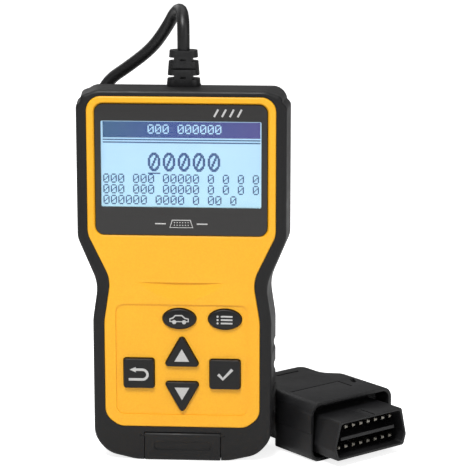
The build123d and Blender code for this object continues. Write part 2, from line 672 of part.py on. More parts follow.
def window_pane():
    """Clear pane in the window plate."""
    front = FACE_Y + SEAM + PANE_RECESS
    return plate(VIEW_WIDTH - 2 * SNUG_GAP, VIEW_HEIGHT - 2 * SNUG_GAP, VIEW_Z, front,
                 front + PANE_THICKNESS, VIEW_RADIUS - SNUG_GAP)


def ring_plate(width, height, wall, front, back):
    """A rectangular ring of even wall round the middle of the view."""
    return plate(width, height, VIEW_Z, front, back) - plate(
        width - 2 * wall, height - 2 * wall, VIEW_Z, front - 1, back + 1)


def lcd_gasket():
    """Foam ring between the window and the display."""
    return ring_plate(LCD_WIDTH, LCD_HEIGHT, GASKET_WIDTH, GASKET_FRONT_Y, GLASS_FRONT_Y)


def lcd_glass():
    """Dot-matrix display cell."""
    return plate(LCD_WIDTH, LCD_HEIGHT, VIEW_Z, GLASS_FRONT_Y, LIGHT_FRONT_Y)


def lcd_backlight():
    """Light guide behind the cell."""
    return plate(LCD_WIDTH, LCD_HEIGHT, VIEW_Z, LIGHT_FRONT_Y, LIGHT_FRONT_Y + BACKLIGHT)


def lcd_bezel():
    """Steel frame that clamps the display to the board."""
    grow = 2 * (BEZEL_WALL + FIT_GAP)
    front = FACE_Y + FACE_WALL + RUN_GAP
    return ring_plate(LCD_WIDTH + grow, LCD_HEIGHT + grow, BEZEL_WALL, front, BOARD_FRONT_Y)


# ---------------------------------------------------------------- keypad

def oval_face(x, grow):
    """Oval key outline."""
    return Pos(x, OVAL_Z) * Ellipse(OVAL_WIDTH / 2 + grow, OVAL_HEIGHT / 2 + grow)


def square_face(x, grow):
    """Square key outline."""
    side = SQUARE_SIDE + 2 * grow
    return Pos(x, SQUARE_Z) * RectangleRounded(side, side, SQUARE_RADIUS + grow)


def arrow_face(base_z, direction, grow):
    """Triangular key outline, its base at base_z, pointing up (1) or down (-1)."""
    half = ARROW_BASE / 2
    slope = math.hypot(half, ARROW_HEIGHT)
    tall = grow * slope / half
    wide = grow * (slope + half) / ARROW_HEIGHT
    points = [
        (-half - wide, base_z - direction * grow),
        (half + wide, base_z - direction * grow),
        (0, base_z + direction * (ARROW_HEIGHT + tall)),
    ]
    return make_face(FilletPolyline(*points, radius=ARROW_RADIUS + grow, close=True))


def key_faces(grow=0.0, arrow_grow=None):
    """Outline of each key, grown by a clearance, which may differ for the arrows."""
    arrow = grow if arrow_grow is None else arrow_grow
    return {
        "key_vehicle": oval_face(OVAL_X[0], grow),
        "key_codes": oval_face(OVAL_X[1], grow),
        "key_up": arrow_face(UP_BASE_Z, 1, arrow),
        "key_down": arrow_face(DOWN_BASE_Z, -1, arrow),
        "key_back": square_face(SQUARE_X[0], grow),
        "key_enter": square_face(SQUARE_X[1], grow),
    }


def key(name):
    """A rigid key cap with the flange that keeps it in the front shell."""
    cap = slab(key_faces()[name], FACE_Y + PANEL_DEPTH - KEY_RISE, FLANGE_FRONT_Y)
    cap = fillet(front_edges(cap), KEY_EDGE)
    return cap + slab(key_faces(KEY_FLANGE, ARROW_FLANGE)[name], FLANGE_FRONT_Y, FLANGE_BACK_Y)


def key_centres():
    """Where each key presses its switch."""
    third = ARROW_HEIGHT / 3
    ovals = [(x, OVAL_Z) for x in OVAL_X]
    squares = [(x, SQUARE_Z) for x in SQUARE_X]
    return ovals + squares + [(0, UP_BASE_Z + third), (0, DOWN_BASE_Z - third)]


def keypad_sheet():
    """Silicone sheet under the keys: a plunger per key and a rim that stands on the board."""
    top = OVAL_Z + OVAL_HEIGHT / 2 + KEY_FLANGE + 0.4
    height = top - BOARD_BOTTOM_Z
    middle = BOARD_BOTTOM_Z + height / 2
    body = plate(BOARD_LOWER_WIDTH, height, middle, SHEET_FRONT_Y, BOARD_FRONT_Y, SHEET_RADIUS)
    body -= plate(BOARD_LOWER_WIDTH - 2 * SHEET_RIM, height - 2 * SHEET_RIM, middle, SHEET_BACK_Y,
                  BOARD_FRONT_Y + 1, SHEET_RADIUS / 2)
    for x, z in key_centres():
        body += rod(x, z, PLUNGER_DIAMETER, SHEET_BACK_Y - SEAM, BOARD_FRONT_Y - DOME_HEIGHT - RUN_GAP)
    return body


def dome_switches():
    """Metal snap domes on the board, one under each key."""
    domes = [rod(x, z, DOME_DIAMETER, BOARD_FRONT_Y - DOME_HEIGHT, BOARD_FRONT_Y) for x, z in key_centres()]
    return group([fillet(front_edges(dome), DOME_EDGE) for dome in domes])


# ---------------------------------------------------------------- electronics

def main_board():
    """Circuit board behind the display and keypad, with a tongue down to the service port."""
    upper, lower, tongue = BOARD_UPPER_WIDTH / 2, BOARD_LOWER_WIDTH / 2, BOARD_TONGUE_WIDTH / 2
    points = [
        (upper, BOARD_TOP_Z),
        (upper, BOARD_SHOULDER_Z),
        (lower, BOARD_SHOULDER_Z - BOARD_SHOULDER_RUN),
        (lower, BOARD_BOTTOM_Z),
        (tongue, BOARD_BOTTOM_Z),
        (tongue, BOARD_TONGUE_Z),
    ]
    body = slab(mirrored_loop(points, BOARD_CORNERS), BOARD_FRONT_Y, BOARD_BACK_Y)
    for places, diameter in ((BOARD_SCREWS, SCREW_SHAFT + SCREW_PLAY), (CLAMP_SCREWS, PILOT_DIAMETER)):
        for x, z in places:
            body -= rod(x, z, diameter, BOARD_FRONT_Y - 1, BOARD_BACK_Y + 1)
    return body


def board_screws():
    """Screws that hold the board to the front shell's bosses."""
    return screws(BOARD_SCREWS, BOARD_BACK_Y, BOARD_SCREW_LENGTH)


def on_board(x, z, width, height, tall):
    """A rectangular component on the back of the board."""
    return plate(width, height, z, BOARD_BACK_Y, BOARD_BACK_Y + tall, 0.0, x)


def processor_chip():
    """Main controller with a lead frame along two sides."""
    length, width = CHIP_LEG
    body = on_board(0, CHIP_Z, CHIP_SIDE, CHIP_SIDE, CHIP_HEIGHT)
    legs = []
    for index in range(CHIP_LEGS):
        z = CHIP_Z + (index - (CHIP_LEGS - 1) / 2) * CHIP_LEG_PITCH
        for side in (-1, 1):
            legs.append(on_board(side * (CHIP_SIDE + length) / 2, z, length, width, width))
    return group([chamfer(back_edges(body), 0.3)] + legs)


def support_chips():
    """Bus transceiver, regulator and memory."""
    return group([on_board(x, BOARD_SHOULDER_Z + up, width, height, CHIP_HEIGHT)
                  for x, up, width, height in SUPPORT_CHIPS])


def capacitors():
    """Electrolytic capacitors of the supply."""
    return group([rod(x, BOARD_TOP_Z - down, diameter, BOARD_BACK_Y, BOARD_BACK_Y + CAPACITOR_HEIGHT)
                  for x, down, diameter in CAPACITORS])


def crystal():
    """Clock crystal in its metal can."""
    width, height, tall = CRYSTAL
    x, up = CRYSTAL_PLACE
    return plate(width, height, BOARD_SHOULDER_Z + up, BOARD_BACK_Y, BOARD_BACK_Y + tall, height / 2 - 0.1, x)


def buzzer():
    """Round sounder."""
    back = BOARD_BACK_Y + BUZZER_HEIGHT
    body = rod(*BUZZER_PLACE, BUZZER_DIAMETER, BOARD_BACK_Y, back)
    return body - rod(*BUZZER_PLACE, BUZZER_HOLE, back - 2.0, back + 1.0)


def usb_socket():
    """Service port shell with its tongue, mouth facing the ground."""
    back = BOARD_BACK_Y + PORT_DEPTH
    top = PORT_MOUTH_Z + PORT_LENGTH
    inner = PORT_WIDTH - 2 * PORT_WALL
    body = block(around(0, PORT_WIDTH), (BOARD_BACK_Y, back), (PORT_MOUTH_Z, top))
    body -= block(around(0, inner), (BOARD_BACK_Y + PORT_WALL, back - PORT_WALL), (PORT_MOUTH_Z - 1, top - 1.5))
    tongue = around((BOARD_BACK_Y + back) / 2, PORT_TONGUE_THICKNESS)
    return body + block(around(0, inner - 2 * PORT_TONGUE_INSET), tongue, (PORT_MOUTH_Z + 1.0, top - 1.0))


def usb_flap():
    """Rubber flap that closes the service port: front leg, sole, hinge barrel and stub pins."""
    across = around(0, FLAP_WIDTH)
    body = block(across, (FLAP_FRONT_Y, FLAP_FRONT_Y + FLAP_LEG), (FLAP_LIFT, HINGE_Z))
    body += block(across, (FLAP_FRONT_Y, FLAP_SOLE_BACK_Y), (FLAP_LIFT, FLAP_LIFT + FLAP_SOLE))
    toe = body.edges().filter_by(Axis.X).sort_by(lambda edge: edge.center().Y + edge.center().Z)[0]
    body = fillet(toe, FLAP_TOE_RADIUS)
    body += hinge_bar(2 * HINGE_RADIUS, FLAP_WIDTH)
    body += hinge_bar(2 * HINGE_PIN_RADIUS, FLAP_WIDTH + 2 * HINGE_PIN_LENGTH)
    return body - plate(THUMB_WIDTH, THUMB_HEIGHT, THUMB_Z, FLAP_FRONT_Y - 1, FLAP_FRONT_Y + THUMB_DEPTH,
                        THUMB_RADIUS)


# ---------------------------------------------------------------- lead inside the case

def strain_relief():
    """Ladder strain relief moulded on the lead, with a neck and flange caught between the shells."""
    foot = Plane.XY.offset(RELIEF_Z) * RectangleRounded(RELIEF_BASE, RELIEF_DEPTH, RELIEF_CORNERS[0])
    tip_depth = RELIEF_DEPTH - RELIEF_TAPER
    tip = Plane.XY.offset(RELIEF_TIP_Z) * RectangleRounded(RELIEF_TIP, tip_depth, RELIEF_CORNERS[1])
    body = loft([foot, tip])
    reach = RELIEF_BASE
    for index in range(RELIEF_RUNGS):
        middle = RELIEF_Z + RELIEF_HEIGHT * (index + 1) / (RELIEF_RUNGS + 1)
        side, front = (LEAD_DIAMETER / 2 + cover for cover in NOTCH_COVERS)
        whole = (-reach, reach) if index % 2 else around(0, NOTCH_HOLE)
        for sign in (-1, 1):
            deep = sorted((sign * front, sign * reach))
            body -= block(whole, deep, around(middle, NOTCH_HEIGHTS[1]))
            if index % 2 == 0:
                beside = sorted((sign * side, sign * reach))
                body -= block(beside, (-reach, reach), around(middle, NOTCH_HEIGHTS[0]))
    body += upright(0, 0, RELIEF_NECK, RELIEF_FLANGE_TOP_Z, RELIEF_Z)
    body += upright(0, 0, RELIEF_FLANGE, RELIEF_FLANGE_TOP_Z - RELIEF_FLANGE_HEIGHT, RELIEF_FLANGE_TOP_Z)
    return Pos(0, LEAD_Y, 0) * body


def cable_tail():
    """The lead's jacket from the strain relief to the clamp."""
    return upright(0, LEAD_Y, LEAD_DIAMETER, TAIL_BOTTOM_Z, RELIEF_FLANGE_TOP_Z - RELIEF_FLANGE_HEIGHT)


def cable_clamp():
    """Bridge clamp that holds the lead's jacket to the board."""
    across = around(CLAMP_Z, CLAMP_HEIGHT)
    body = block(around(0, CLAMP_WIDTH), (BOARD_BACK_Y, CLAMP_BACK_Y), across)
    body -= upright(0, LEAD_Y, LEAD_DIAMETER + 0.2, across[0] - 1, across[1] + 1)
    for x, z in CLAMP_SCREWS:
        body -= rod(x, z, SCREW_SHAFT + 0.4, BOARD_BACK_Y - 1, CLAMP_BACK_Y + 1)
    return body


def clamp_screws():
    """Two screws through the clamp into the board."""
    length = CLAMP_BACK_Y - BOARD_BACK_Y + CLAMP_SCREW_BITE
    return screws(CLAMP_SCREWS, CLAMP_BACK_Y, length, SMALL_HEAD)


def header_socket():
    """Board header for the lead."""
    width, height, tall = HEADER_SIZE
    side, floor = HEADER_WALL
    body = on_board(0, HEADER_Z, width, height, tall)
    room = (BOARD_BACK_Y + floor, BOARD_BACK_Y + tall + 1)
    return body - block(around(0, width - 2 * side), room, around(HEADER_Z, height - 2 * side))


def header_plug():
    """Crimp housing on the lead's wires, pushed into the header."""
    width, height, _ = HEADER_SIZE
    inset = 2 * (HEADER_WALL[0] + CRIMP_GAP)
    return block(around(0, width - inset), (CRIMP_FRONT_Y, CRIMP_BACK_Y), around(HEADER_Z, height - inset))


def wire(points, diameter, radii):
    """A thin wire along straight runs and tangent arcs."""
    path = FilletPolyline(*points, radius=radii)
    return sweep(Plane(origin=path @ 0, z_dir=path % 0) * Circle(diameter / 2), path=path)


def cable_wires():
    """Wires from the jacket's end to the crimp housing, bowed out behind it."""
    bow_y = CRIMP_BACK_Y + 2.2
    made = []
    for index in range(WIRES):
        place = index - (WIRES - 1) / 2
        x, end_x = place * WIRE_PITCHES[0], place * WIRE_PITCHES[1]
        y = LEAD_Y + (0.6 if index % 2 else -0.6)
        points = [(x, y, TAIL_BOTTOM_Z), (x, y, TAIL_BOTTOM_Z - 3.0), (end_x, bow_y, HEADER_Z + 2.6),
                  (end_x, bow_y, HEADER_Z), (end_x, CRIMP_BACK_Y, HEADER_Z)]
        made.append(wire(points, WIRE_DIAMETER, WIRE_RADII))
    return group(made)


# ---------------------------------------------------------------- free lead

# Out of the strain relief, over a tight bend, down behind the case and onto the coil's outer turn.
UPPER_ROUTE = [
    (0.0, LEAD_Y, RELIEF_TIP_Z), (0.0, 1.0, 174.4), (-0.4, 3.8, 179.4), (-1.6, 8.8, 182.2),
    (-4.3, 13.9, 180.6), (-7.6, 17.0, 174.4), (-14.0, 18.6, 165.2), (-23.8, 20.6, 157.4),
    (-33.6, 23.4, 150.6), (-38.4, 27.0, 139.6), (-38.2, 30.4, 123.0), (-33.6, 33.0, 100.0),
    (-28.6, 34.4, 74.0), (-26.4, 33.4, 48.0), (-27.4, 32.2, 28.0), (-30.8, 34.2, 13.0),
    (-35.2, 42.0, 4.4), (-40.4, 52.4, 3.6),
]
# From the plug's boot over the coil and down inside it.
LOWER_ROUTE = [
    (28.42, 44.91, 12.5), (25.07, 48.63, 12.5), (20.6, 54.4, 11.6), (16.2, 61.4, 9.6), (12.6, 67.8, 6.8),
    (8.6, 73.6, 3.6),
]


def arc_radii(points):
    """Largest tangent arc at each inner point: 0.45 of the shorter run over tan(half the turn)."""
    vectors = [Vector(*b) - Vector(*a) for a, b in zip(points, points[1:])]
    radii = []
    for before, after in zip(vectors, vectors[1:]):
        turn = math.radians(before.get_angle(after))
        radii.append(0.45 * min(before.length, after.length) / math.tan(turn / 2))
    return radii


def tube(name, points):
    """One solid of round cord along a route, with its arcs and its volume printed."""
    radii = arc_radii(points)
    path = FilletPolyline(*points, radius=radii)
    body = sweep(Plane(origin=path @ 0, z_dir=path % 0) * Circle(LEAD_DIAMETER / 2), path=path)
    expected = math.pi * (LEAD_DIAMETER / 2) ** 2 * path.length
    print(name, "length", round(path.length, 1), "volume ratio", round(body.volume / expected, 4),
          "radii", [round(r, 1) for r in radii])
    return body


def cable_upper():
    """The lead from the strain relief to the coil."""
    return tube("cable_upper", UPPER_ROUTE)


def cable_lower():
    """The lead from the coil to the plug."""
    return tube("cable_lower", LOWER_ROUTE)


def coil_band(grow=0.0):
    """Inner and outer radius of the coil, grown by a clearance."""
    outer = COIL_INNER + COIL_PITCH * COIL_TURNS + LEAD_DIAMETER / 2
    return COIL_INNER - LEAD_DIAMETER / 2 - grow, outer + grow


def cable_coil():
    """Outer shape of the coiled part of the lead."""
    inner, outer = coil_band()
    body = Cylinder(outer, LEAD_DIAMETER) - Cylinder(inner, LEAD_DIAMETER + 2)
    body = fillet(body.edges().filter_by(GeomType.CIRCLE), COIL_EDGE)
    return Pos(*COIL_CENTRE, COIL_LIFT + LEAD_DIAMETER / 2) * body


def cable_tie():
    """Hook-and-loop strap round the coil, at the side away from the case."""
    inner, outer = coil_band(TIE_GAP)
    inner = math.sqrt(inner**2 - (TIE_WIDTH / 2) ** 2)
    low = COIL_LIFT - TIE_GAP
    high = COIL_LIFT + LEAD_DIAMETER + TIE_GAP
    x, y = COIL_CENTRE
    strap = TIE_THICKNESS
    shell = block(around(x, TIE_WIDTH), (y + inner - strap, y + outer + strap), (low - strap, high + strap))
    shell = fillet(shell.edges().filter_by(Axis.X), COIL_EDGE)
    return shell - block(around(x, TIE_WIDTH + 2), (y + inner, y + outer), (low, high))


# ---------------------------------------------------------------- vehicle plug

def placed(part):
    """From the plug's own frame to its place on the ground."""
    return Location((*PLUG_PLACE, 0), (0, 0, PLUG_YAW)) * part


def shroud_face(grow=0.0):
    """D-shaped section of the shroud, narrow side up, grown by a wall or clearance."""
    low = SHROUD_Z - grow
    foot = SHROUD_BOTTOM_WIDTH / 2 + grow
    points = [
        (SHROUD_TOP_WIDTH / 2 + grow, SHROUD_Z + SHROUD_HEIGHT + grow),
        (foot, low + SHROUD_KNEE),
        (foot - SHROUD_FOOT_RUN, low),
    ]
    return mirrored_loop(points, SHROUD_RADII)


def pin_places():
    """Middle of each contact in (x, z)."""
    return [((index - (PINS_PER_ROW - 1) / 2) * PIN_PITCH, SHROUD_MIDDLE_Z + row * PIN_ROWS / 2)
            for row in (-1, 1) for index in range(PINS_PER_ROW)]


def plug_shroud():
    """Thin D-shaped shroud round the contacts, with a keyway in its top."""
    body = slab(shroud_face(), 0, SHROUD_LENGTH)
    body -= slab(shroud_face(-SHROUD_WALL), -1, SHROUD_LENGTH + 1)
    top = SHROUD_Z + SHROUD_HEIGHT
    return placed(body - block(around(0, KEYWAY_WIDTH), (-1, KEYWAY_LENGTH), (top - KEYWAY_DEPTH, top + 1)))


def plug_insulator():
    """Block that carries the contacts, with the web between the two rows."""
    body = slab(shroud_face(-SHROUD_WALL - SNUG_GAP), INSULATOR_FRONT_Y, SHROUD_LENGTH - 1)
    web = (WEB_FRONT_Y, INSULATOR_FRONT_Y + 1)
    body += block(around(0, WEB_WIDTH), web, around(SHROUD_MIDDLE_Z, WEB_THICKNESS))
    hole = PIN_SIDE + 2 * SNUG_GAP
    for x, z in pin_places():
        body -= block(around(x, hole), (INSULATOR_FRONT_Y - 1, SHROUD_LENGTH), around(z, hole))
    return placed(body)


def contact_pins():
    """Sixteen square contacts in two rows."""
    pins = [block(around(x, PIN_SIDE), (PIN_TIP_Y, SHROUD_LENGTH + PIN_TAIL), around(z, PIN_SIDE))
            for x, z in pin_places()]
    return placed(group([chamfer(front_edges(pin), PIN_CHAMFER) for pin in pins]))


def plug_plan(inset=0.0):
    """Plan of the plug's housing, in (x, y)."""
    wide, rear = PLUG_WIDTH / 2 - inset, PLUG_REAR_WIDTH / 2 - inset
    right = [(wide, HOOD_FRONT_Y), (wide, PLUG_SHOULDER_Y), (rear, PLUG_GRIP_Y), (rear, PLUG_LENGTH - inset)]
    return mirrored_loop(right, PLUG_PLAN_RADII)


def housing_section(inset, corner):
    """Section of the plug's housing, in (x, z)."""
    return Pos(0, PLUG_HEIGHT / 2) * RectangleRounded(PLUG_WIDTH - 2 * inset, PLUG_HEIGHT - 2 * inset, corner)


def housing_marks():
    """Cuts in the housing's top: a groove near the rear, an engraved corner line and a slot."""
    low, high = PLUG_HEIGHT - LINE_DEPTH, PLUG_HEIGHT + 1
    width, length, depth = RIB_SIZE
    rib = block(around(0, width), around(PLUG_LENGTH - RIB_PLACE, length), (PLUG_HEIGHT - depth, high))
    across = block(LINE_X, (LINE_Y[1] - LINE_WIDTH, LINE_Y[1]), (low, high))
    along = block((LINE_X[1] - LINE_WIDTH, LINE_X[1]), LINE_Y, (low, high))
    slot = Pos(*RIVET_PLACE, PLUG_HEIGHT) * Rot(0, 0, RIVET_TURN) * SlotOverall(*RIVET_SLOT[:2])
    return [rib, across, along, extrude(slot, amount=RIVET_SLOT[2], both=True)]


def plug_body():
    """Both halves of the plug's housing in one, before it is split."""
    body = extrude(plug_plan(), amount=PLUG_HEIGHT)
    body = body & slab(housing_section(0, PLUG_CORNER), HOOD_FRONT_Y, PLUG_LENGTH)
    hollow = extrude(plug_plan(PLUG_WALL), amount=PLUG_HEIGHT)
    hollow &= block(around(0, 2 * PLUG_WIDTH), (SHROUD_LENGTH + 0.2, PLUG_LENGTH - PLUG_WALL),
                    (PLUG_WALL, PLUG_HEIGHT - PLUG_WALL))
    body -= hollow
    body -= slab(shroud_face(SNUG_GAP), 0, SHROUD_LENGTH + 1)
    body -= slab(housing_section(HOOD_WALL, PLUG_CORNER - HOOD_WALL), 0, HOOD_FRONT_Y + HOOD_DEPTH)
    body -= Pos(0, PLUG_LENGTH, PLUG_SPLIT_Z) * Rot(90, 0, 0) * Cylinder(BOOT_BASE / 2 + SEAM, 3 * PLUG_WALL)
    for cut in housing_marks():
        body -= cut
    return body


def plug_half(low, high):
    """The part of the plug's housing between two heights."""
    return plug_body() & block(around(0, 2 * PLUG_WIDTH), (0, PLUG_LENGTH + 9), (low, high))


def plug_cover():
    """Upper half of the plug's housing, with two screw posts."""
    body = plug_half(PLUG_SPLIT_Z, PLUG_HEIGHT + 1)
    for x, y in PLUG_SCREWS:
        body += upright(x, y, 2 * PLUG_POST_RADII[0], PLUG_SPLIT_Z, PLUG_HEIGHT - 1)
        body -= upright(x, y, PILOT_DIAMETER, PLUG_SPLIT_Z - 6, PLUG_SPLIT_Z + 6)
    return placed(body)


def plug_base():
    """Lower half of the plug's housing, with counterbored screw posts."""
    body = plug_half(-1, PLUG_SPLIT_Z)
    for x, y in PLUG_SCREWS:
        body += upright(x, y, 2 * PLUG_POST_RADII[1], 0.5, PLUG_SPLIT_Z)
        body -= upright(x, y, SCREW_SHAFT + SCREW_PLAY, -1, PLUG_SPLIT_Z + 1)
        body -= upright(x, y, SCREW_HEAD + 0.8, -PLUG_SCREW_SEAT, PLUG_SCREW_SEAT)
    return placed(body)


def plug_screws():
    """Two screws up through the plug's lower half."""
    bottom = PLUG_SCREW_SEAT - SCREW_HEAD_HEIGHT
    made = []
    for x, y in PLUG_SCREWS:
        body = upright(x, y, SCREW_HEAD, bottom, PLUG_SCREW_SEAT)
        body += upright(x, y, SCREW_SHAFT, PLUG_SCREW_SEAT, PLUG_SCREW_SEAT + PLUG_SCREW_LENGTH)
        for width, height in ((RECESS_LENGTH, RECESS_WIDTH), (RECESS_WIDTH, RECESS_LENGTH)):
            body -= block(around(x, width), around(y, height), (bottom - 1, bottom + RECESS_DEPTH))
        made.append(body)
    return placed(group(made))


def plug_boot():
    """Tapered boot moulded on the lead where it leaves the plug."""
    inside = -2 * PLUG_WALL
    body = Pos(0, 0, BOOT_LENGTH / 2) * Cone(BOOT_BASE / 2, BOOT_TIP / 2, BOOT_LENGTH)
    body += upright(0, 0, BOOT_BASE, inside, 0)
    flange_top = -PLUG_WALL - SEAM - 0.1
    body += upright(0, 0, BOOT_FLANGE, flange_top - BOOT_FLANGE_THICKNESS, flange_top)
    first, pitch, width = BOOT_RING
    for index in range(BOOT_RINGS):
        ring = Cylinder(BOOT_BASE, width) - Cylinder(LEAD_DIAMETER / 2 + BOOT_RING_COVER, width)
        body -= Pos(0, 0, first + index * pitch) * ring
    return placed(Pos(0, PLUG_LENGTH, PLUG_SPLIT_Z) * Rot(-90, 0, 0) * body)


def plug_wires():
    """Four wires from the contacts' tails to the boot."""
    tail = SHROUD_LENGTH + PIN_TAIL
    end_y = PLUG_LENGTH - 2 * PLUG_WALL - 0.2
    straight, last = PLUG_WIRE_RUNS
    made = []
    for index, x in enumerate(PLUG_WIRE_X):
        side = 1 if index % 2 else -1
        z = SHROUD_MIDDLE_Z + side * PIN_ROWS / 2
        end_x = (index - 1.5) * PLUG_WIRE_END_PITCH
        end_z = PLUG_SPLIT_Z + side * PLUG_WIRE_END_Z
        points = [(x, tail, z), (x, tail + straight, z), (end_x, end_y - last, end_z), (end_x, end_y, end_z)]
        made.append(wire(points, PLUG_WIRE_DIAMETER, [6, 6]))
    return placed(group(made))


NODES = {
    "front_shell": front_shell, "grip_frame": grip_frame, "back_shell": back_shell,
    "case_screws": case_screws, "rating_label": rating_label,
    "display_window": display_window, "window_pane": window_pane, "lcd_gasket": lcd_gasket,
    "lcd_glass": lcd_glass, "lcd_backlight": lcd_backlight, "lcd_bezel": lcd_bezel,
    "keypad_sheet": keypad_sheet, "dome_switches": dome_switches,
    "main_board": main_board, "board_screws": board_screws, "processor_chip": processor_chip,
    "support_chips": support_chips, "capacitors": capacitors, "crystal": crystal, "buzzer": buzzer,
    "usb_socket": usb_socket, "usb_flap": usb_flap,
    "strain_relief": strain_relief, "cable_tail": cable_tail, "cable_clamp": cable_clamp,
    "clamp_screws": clamp_screws, "header_socket": header_socket, "header_plug": header_plug,
    "cable_wires": cable_wires, "cable_upper": cable_upper, "cable_lower": cable_lower,
    "cable_coil": cable_coil, "cable_tie": cable_tie,
    "plug_shroud": plug_shroud, "plug_insulator": plug_insulator, "contact_pins": contact_pins,
    "plug_cover": plug_cover, "plug_base": plug_base, "plug_screws": plug_screws,
    "plug_boot": plug_boot, "plug_wires": plug_wires,
}


def main():
    """Write one STEP file for each sub-part."""
    os.makedirs("parts", exist_ok=True)
    for name, make in NODES.items():
        export_step(make(), f"parts/{name}.step")
    for name in key_faces():
        export_step(key(name), f"parts/{name}.step")


main()
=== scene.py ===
"""An upright OBD code reader with a coiled lead and its vehicle plug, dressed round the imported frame."""

import logging
import math
import random
from contextlib import contextmanager
from dataclasses import dataclass, field
from enum import Enum
from functools import lru_cache
from typing import Callable, Iterable, Iterator, Sequence

import bmesh
import bpy
from mathutils import Matrix, Vector


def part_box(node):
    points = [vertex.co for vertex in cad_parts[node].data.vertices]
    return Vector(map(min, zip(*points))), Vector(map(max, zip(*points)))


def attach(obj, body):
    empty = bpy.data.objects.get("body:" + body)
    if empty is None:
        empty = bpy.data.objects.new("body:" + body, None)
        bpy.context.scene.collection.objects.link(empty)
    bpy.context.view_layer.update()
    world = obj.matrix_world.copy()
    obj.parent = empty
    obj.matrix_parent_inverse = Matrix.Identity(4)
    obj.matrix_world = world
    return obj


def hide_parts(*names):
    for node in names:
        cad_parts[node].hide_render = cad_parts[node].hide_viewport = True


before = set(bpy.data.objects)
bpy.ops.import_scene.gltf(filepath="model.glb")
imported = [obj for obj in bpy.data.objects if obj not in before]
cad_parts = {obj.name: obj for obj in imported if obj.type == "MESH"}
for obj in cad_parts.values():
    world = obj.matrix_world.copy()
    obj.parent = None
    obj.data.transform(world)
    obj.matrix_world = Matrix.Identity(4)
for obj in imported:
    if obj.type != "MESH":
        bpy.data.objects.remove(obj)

Piece = bpy.types.Object
Tree = bpy.types.NodeTree
Socket = bpy.types.NodeSocket

MM = 0.001
SAME_PLACE = 1e-6             # metres within which two corners of a node are one
FLAT = math.radians(0.6)      # faces that meet at less are one flat face
SHARP = math.radians(32.0)    # edges that turn more are rounded
CASE = "case"
log = logging.getLogger("reader")
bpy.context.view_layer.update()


def linear(hex_colour: str) -> tuple[float, float, float, float]:
    """Turn an sRGB hex colour to linear.

    Args:
        hex_colour: Six hex digits after a hash.

    Returns:
        Red, green, blue and an alpha of one, in linear light.
    """
    values = [int(hex_colour[i:i + 2], 16) / 255 for i in (1, 3, 5)]
    return (*[v / 12.92 if v <= 0.04045 else ((v + 0.055) / 1.055) ** 2.4 for v in values], 1.0)


# ---- node trees


def add(tree: Tree, kind: str, links: dict | None = None, **settings) -> bpy.types.Node:
    """Add a node with its settings, its socket values and its links.

    Args:
        tree: The material's node tree.
        kind: The node's type name without the ShaderNode prefix.
        links: Input names or indices, each with a value or with the output socket that feeds it.
        **settings: Attributes of the node.

    Returns:
        The new node.
    """
    made = tree.nodes.new("ShaderNode" + kind)
    for key, value in settings.items():
        setattr(made, key, value)
    for key, value in (links or {}).items():
        if isinstance(value, Socket):
            tree.links.new(value, made.inputs[key])
        else:
            made.inputs[key].default_value = value
    return made


def ramp(tree: Tree, factor: Socket, stops: Sequence[tuple]) -> Socket:
    """Add a colour ramp.

    Args:
        tree: The material's node tree.
        factor: The socket that drives it.
        stops: Pairs of position and hex colour, from low to high.

    Returns:
        The ramp's colour output.
    """
    made = add(tree, "ValToRGB", {"Fac": factor})
    elements = made.color_ramp.elements
    while len(elements) < len(stops):
        elements.new(0.5)
    for element, (place, colour) in zip(elements, stops):
        element.position = place
        element.color = linear(colour)
    return made.outputs["Color"]


def new_tree(name: str) -> tuple[bpy.types.Material, Tree]:
    """Make an empty node material, and return it with its tree.

    Args:
        name: The material's name.

    Returns:
        The material and its empty node tree.
    """
    material = bpy.data.materials.new(name)
    material.use_nodes = True
    material.node_tree.nodes.clear()
    return material, material.node_tree


def scaled(tree: Tree, size: Sequence[float]) -> Socket:
    """Object coordinates stretched so that one unit is the given size in millimetres along each axis.

    Args:
        tree: The material's node tree.
        size: Millimetres to a unit along each axis.

    Returns:
        The stretched coordinates.
    """
    place = add(tree, "TexCoord").outputs["Object"]
    stretch = add(tree, "Mapping", {"Vector": place, "Scale": [1 / (s * MM) for s in size]})
    return stretch.outputs["Vector"]


def noise(tree: Tree, size: Sequence[float], detail: float) -> Socket:
    """Noise with grains of about that size in millimetres along each axis."""
    made = add(tree, "TexNoise", {"Vector": scaled(tree, size), "Scale": 1.0, "Detail": detail})
    return made.outputs["Fac"]


def speckle(tree: Tree, size: float, detail: float = 2.0) -> Socket:
    """Noise with round grains of about that size in millimetres."""
    return noise(tree, (size,) * 3, detail)


def span(tree: Tree, factor: Socket, low: float, high: float) -> Socket:
    """Map noise from its usual 0.3 to 0.7 onto a range.

    Args:
        tree: The material's node tree.
        factor: The noise.
        low: What 0.3 becomes.
        high: What 0.7 becomes.

    Returns:
        The mapped value.
    """
    made = add(tree, "MapRange", {"Value": factor, "From Min": 0.3, "From Max": 0.7, "To Min": low,
                                  "To Max": high})
    return made.outputs["Result"]


def mixed(tree: Tree, factor: Socket, a: str, b: str) -> Socket:
    """Mix two hex colours by noise."""
    return ramp(tree, factor, ((0.36, a), (0.64, b)))


def bumped(tree: Tree, height: Socket, strength: float, depth: float) -> Socket:
    """A normal tilted by a height that is that many millimetres deep."""
    made = add(tree, "Bump", {"Height": height, "Strength": strength, "Distance": depth * MM})
    return made.outputs["Normal"]


def across_pane(tree: Tree, axis: str) -> Socket:
    """How far a point is across the display's pane along an axis, from nought to one.

    Args:
        tree: The material's node tree.
        axis: X, Y or Z.

    Returns:
        The share.
    """
    low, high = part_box("window_pane")
    place = add(tree, "SeparateXYZ", {"Vector": add(tree, "TexCoord").outputs["Object"]})
    made = add(tree, "MapRange", {"Value": place.outputs[axis], "From Min": getattr(low, axis.lower()),
                                  "From Max": getattr(high, axis.lower())})
    return made.outputs["Result"]


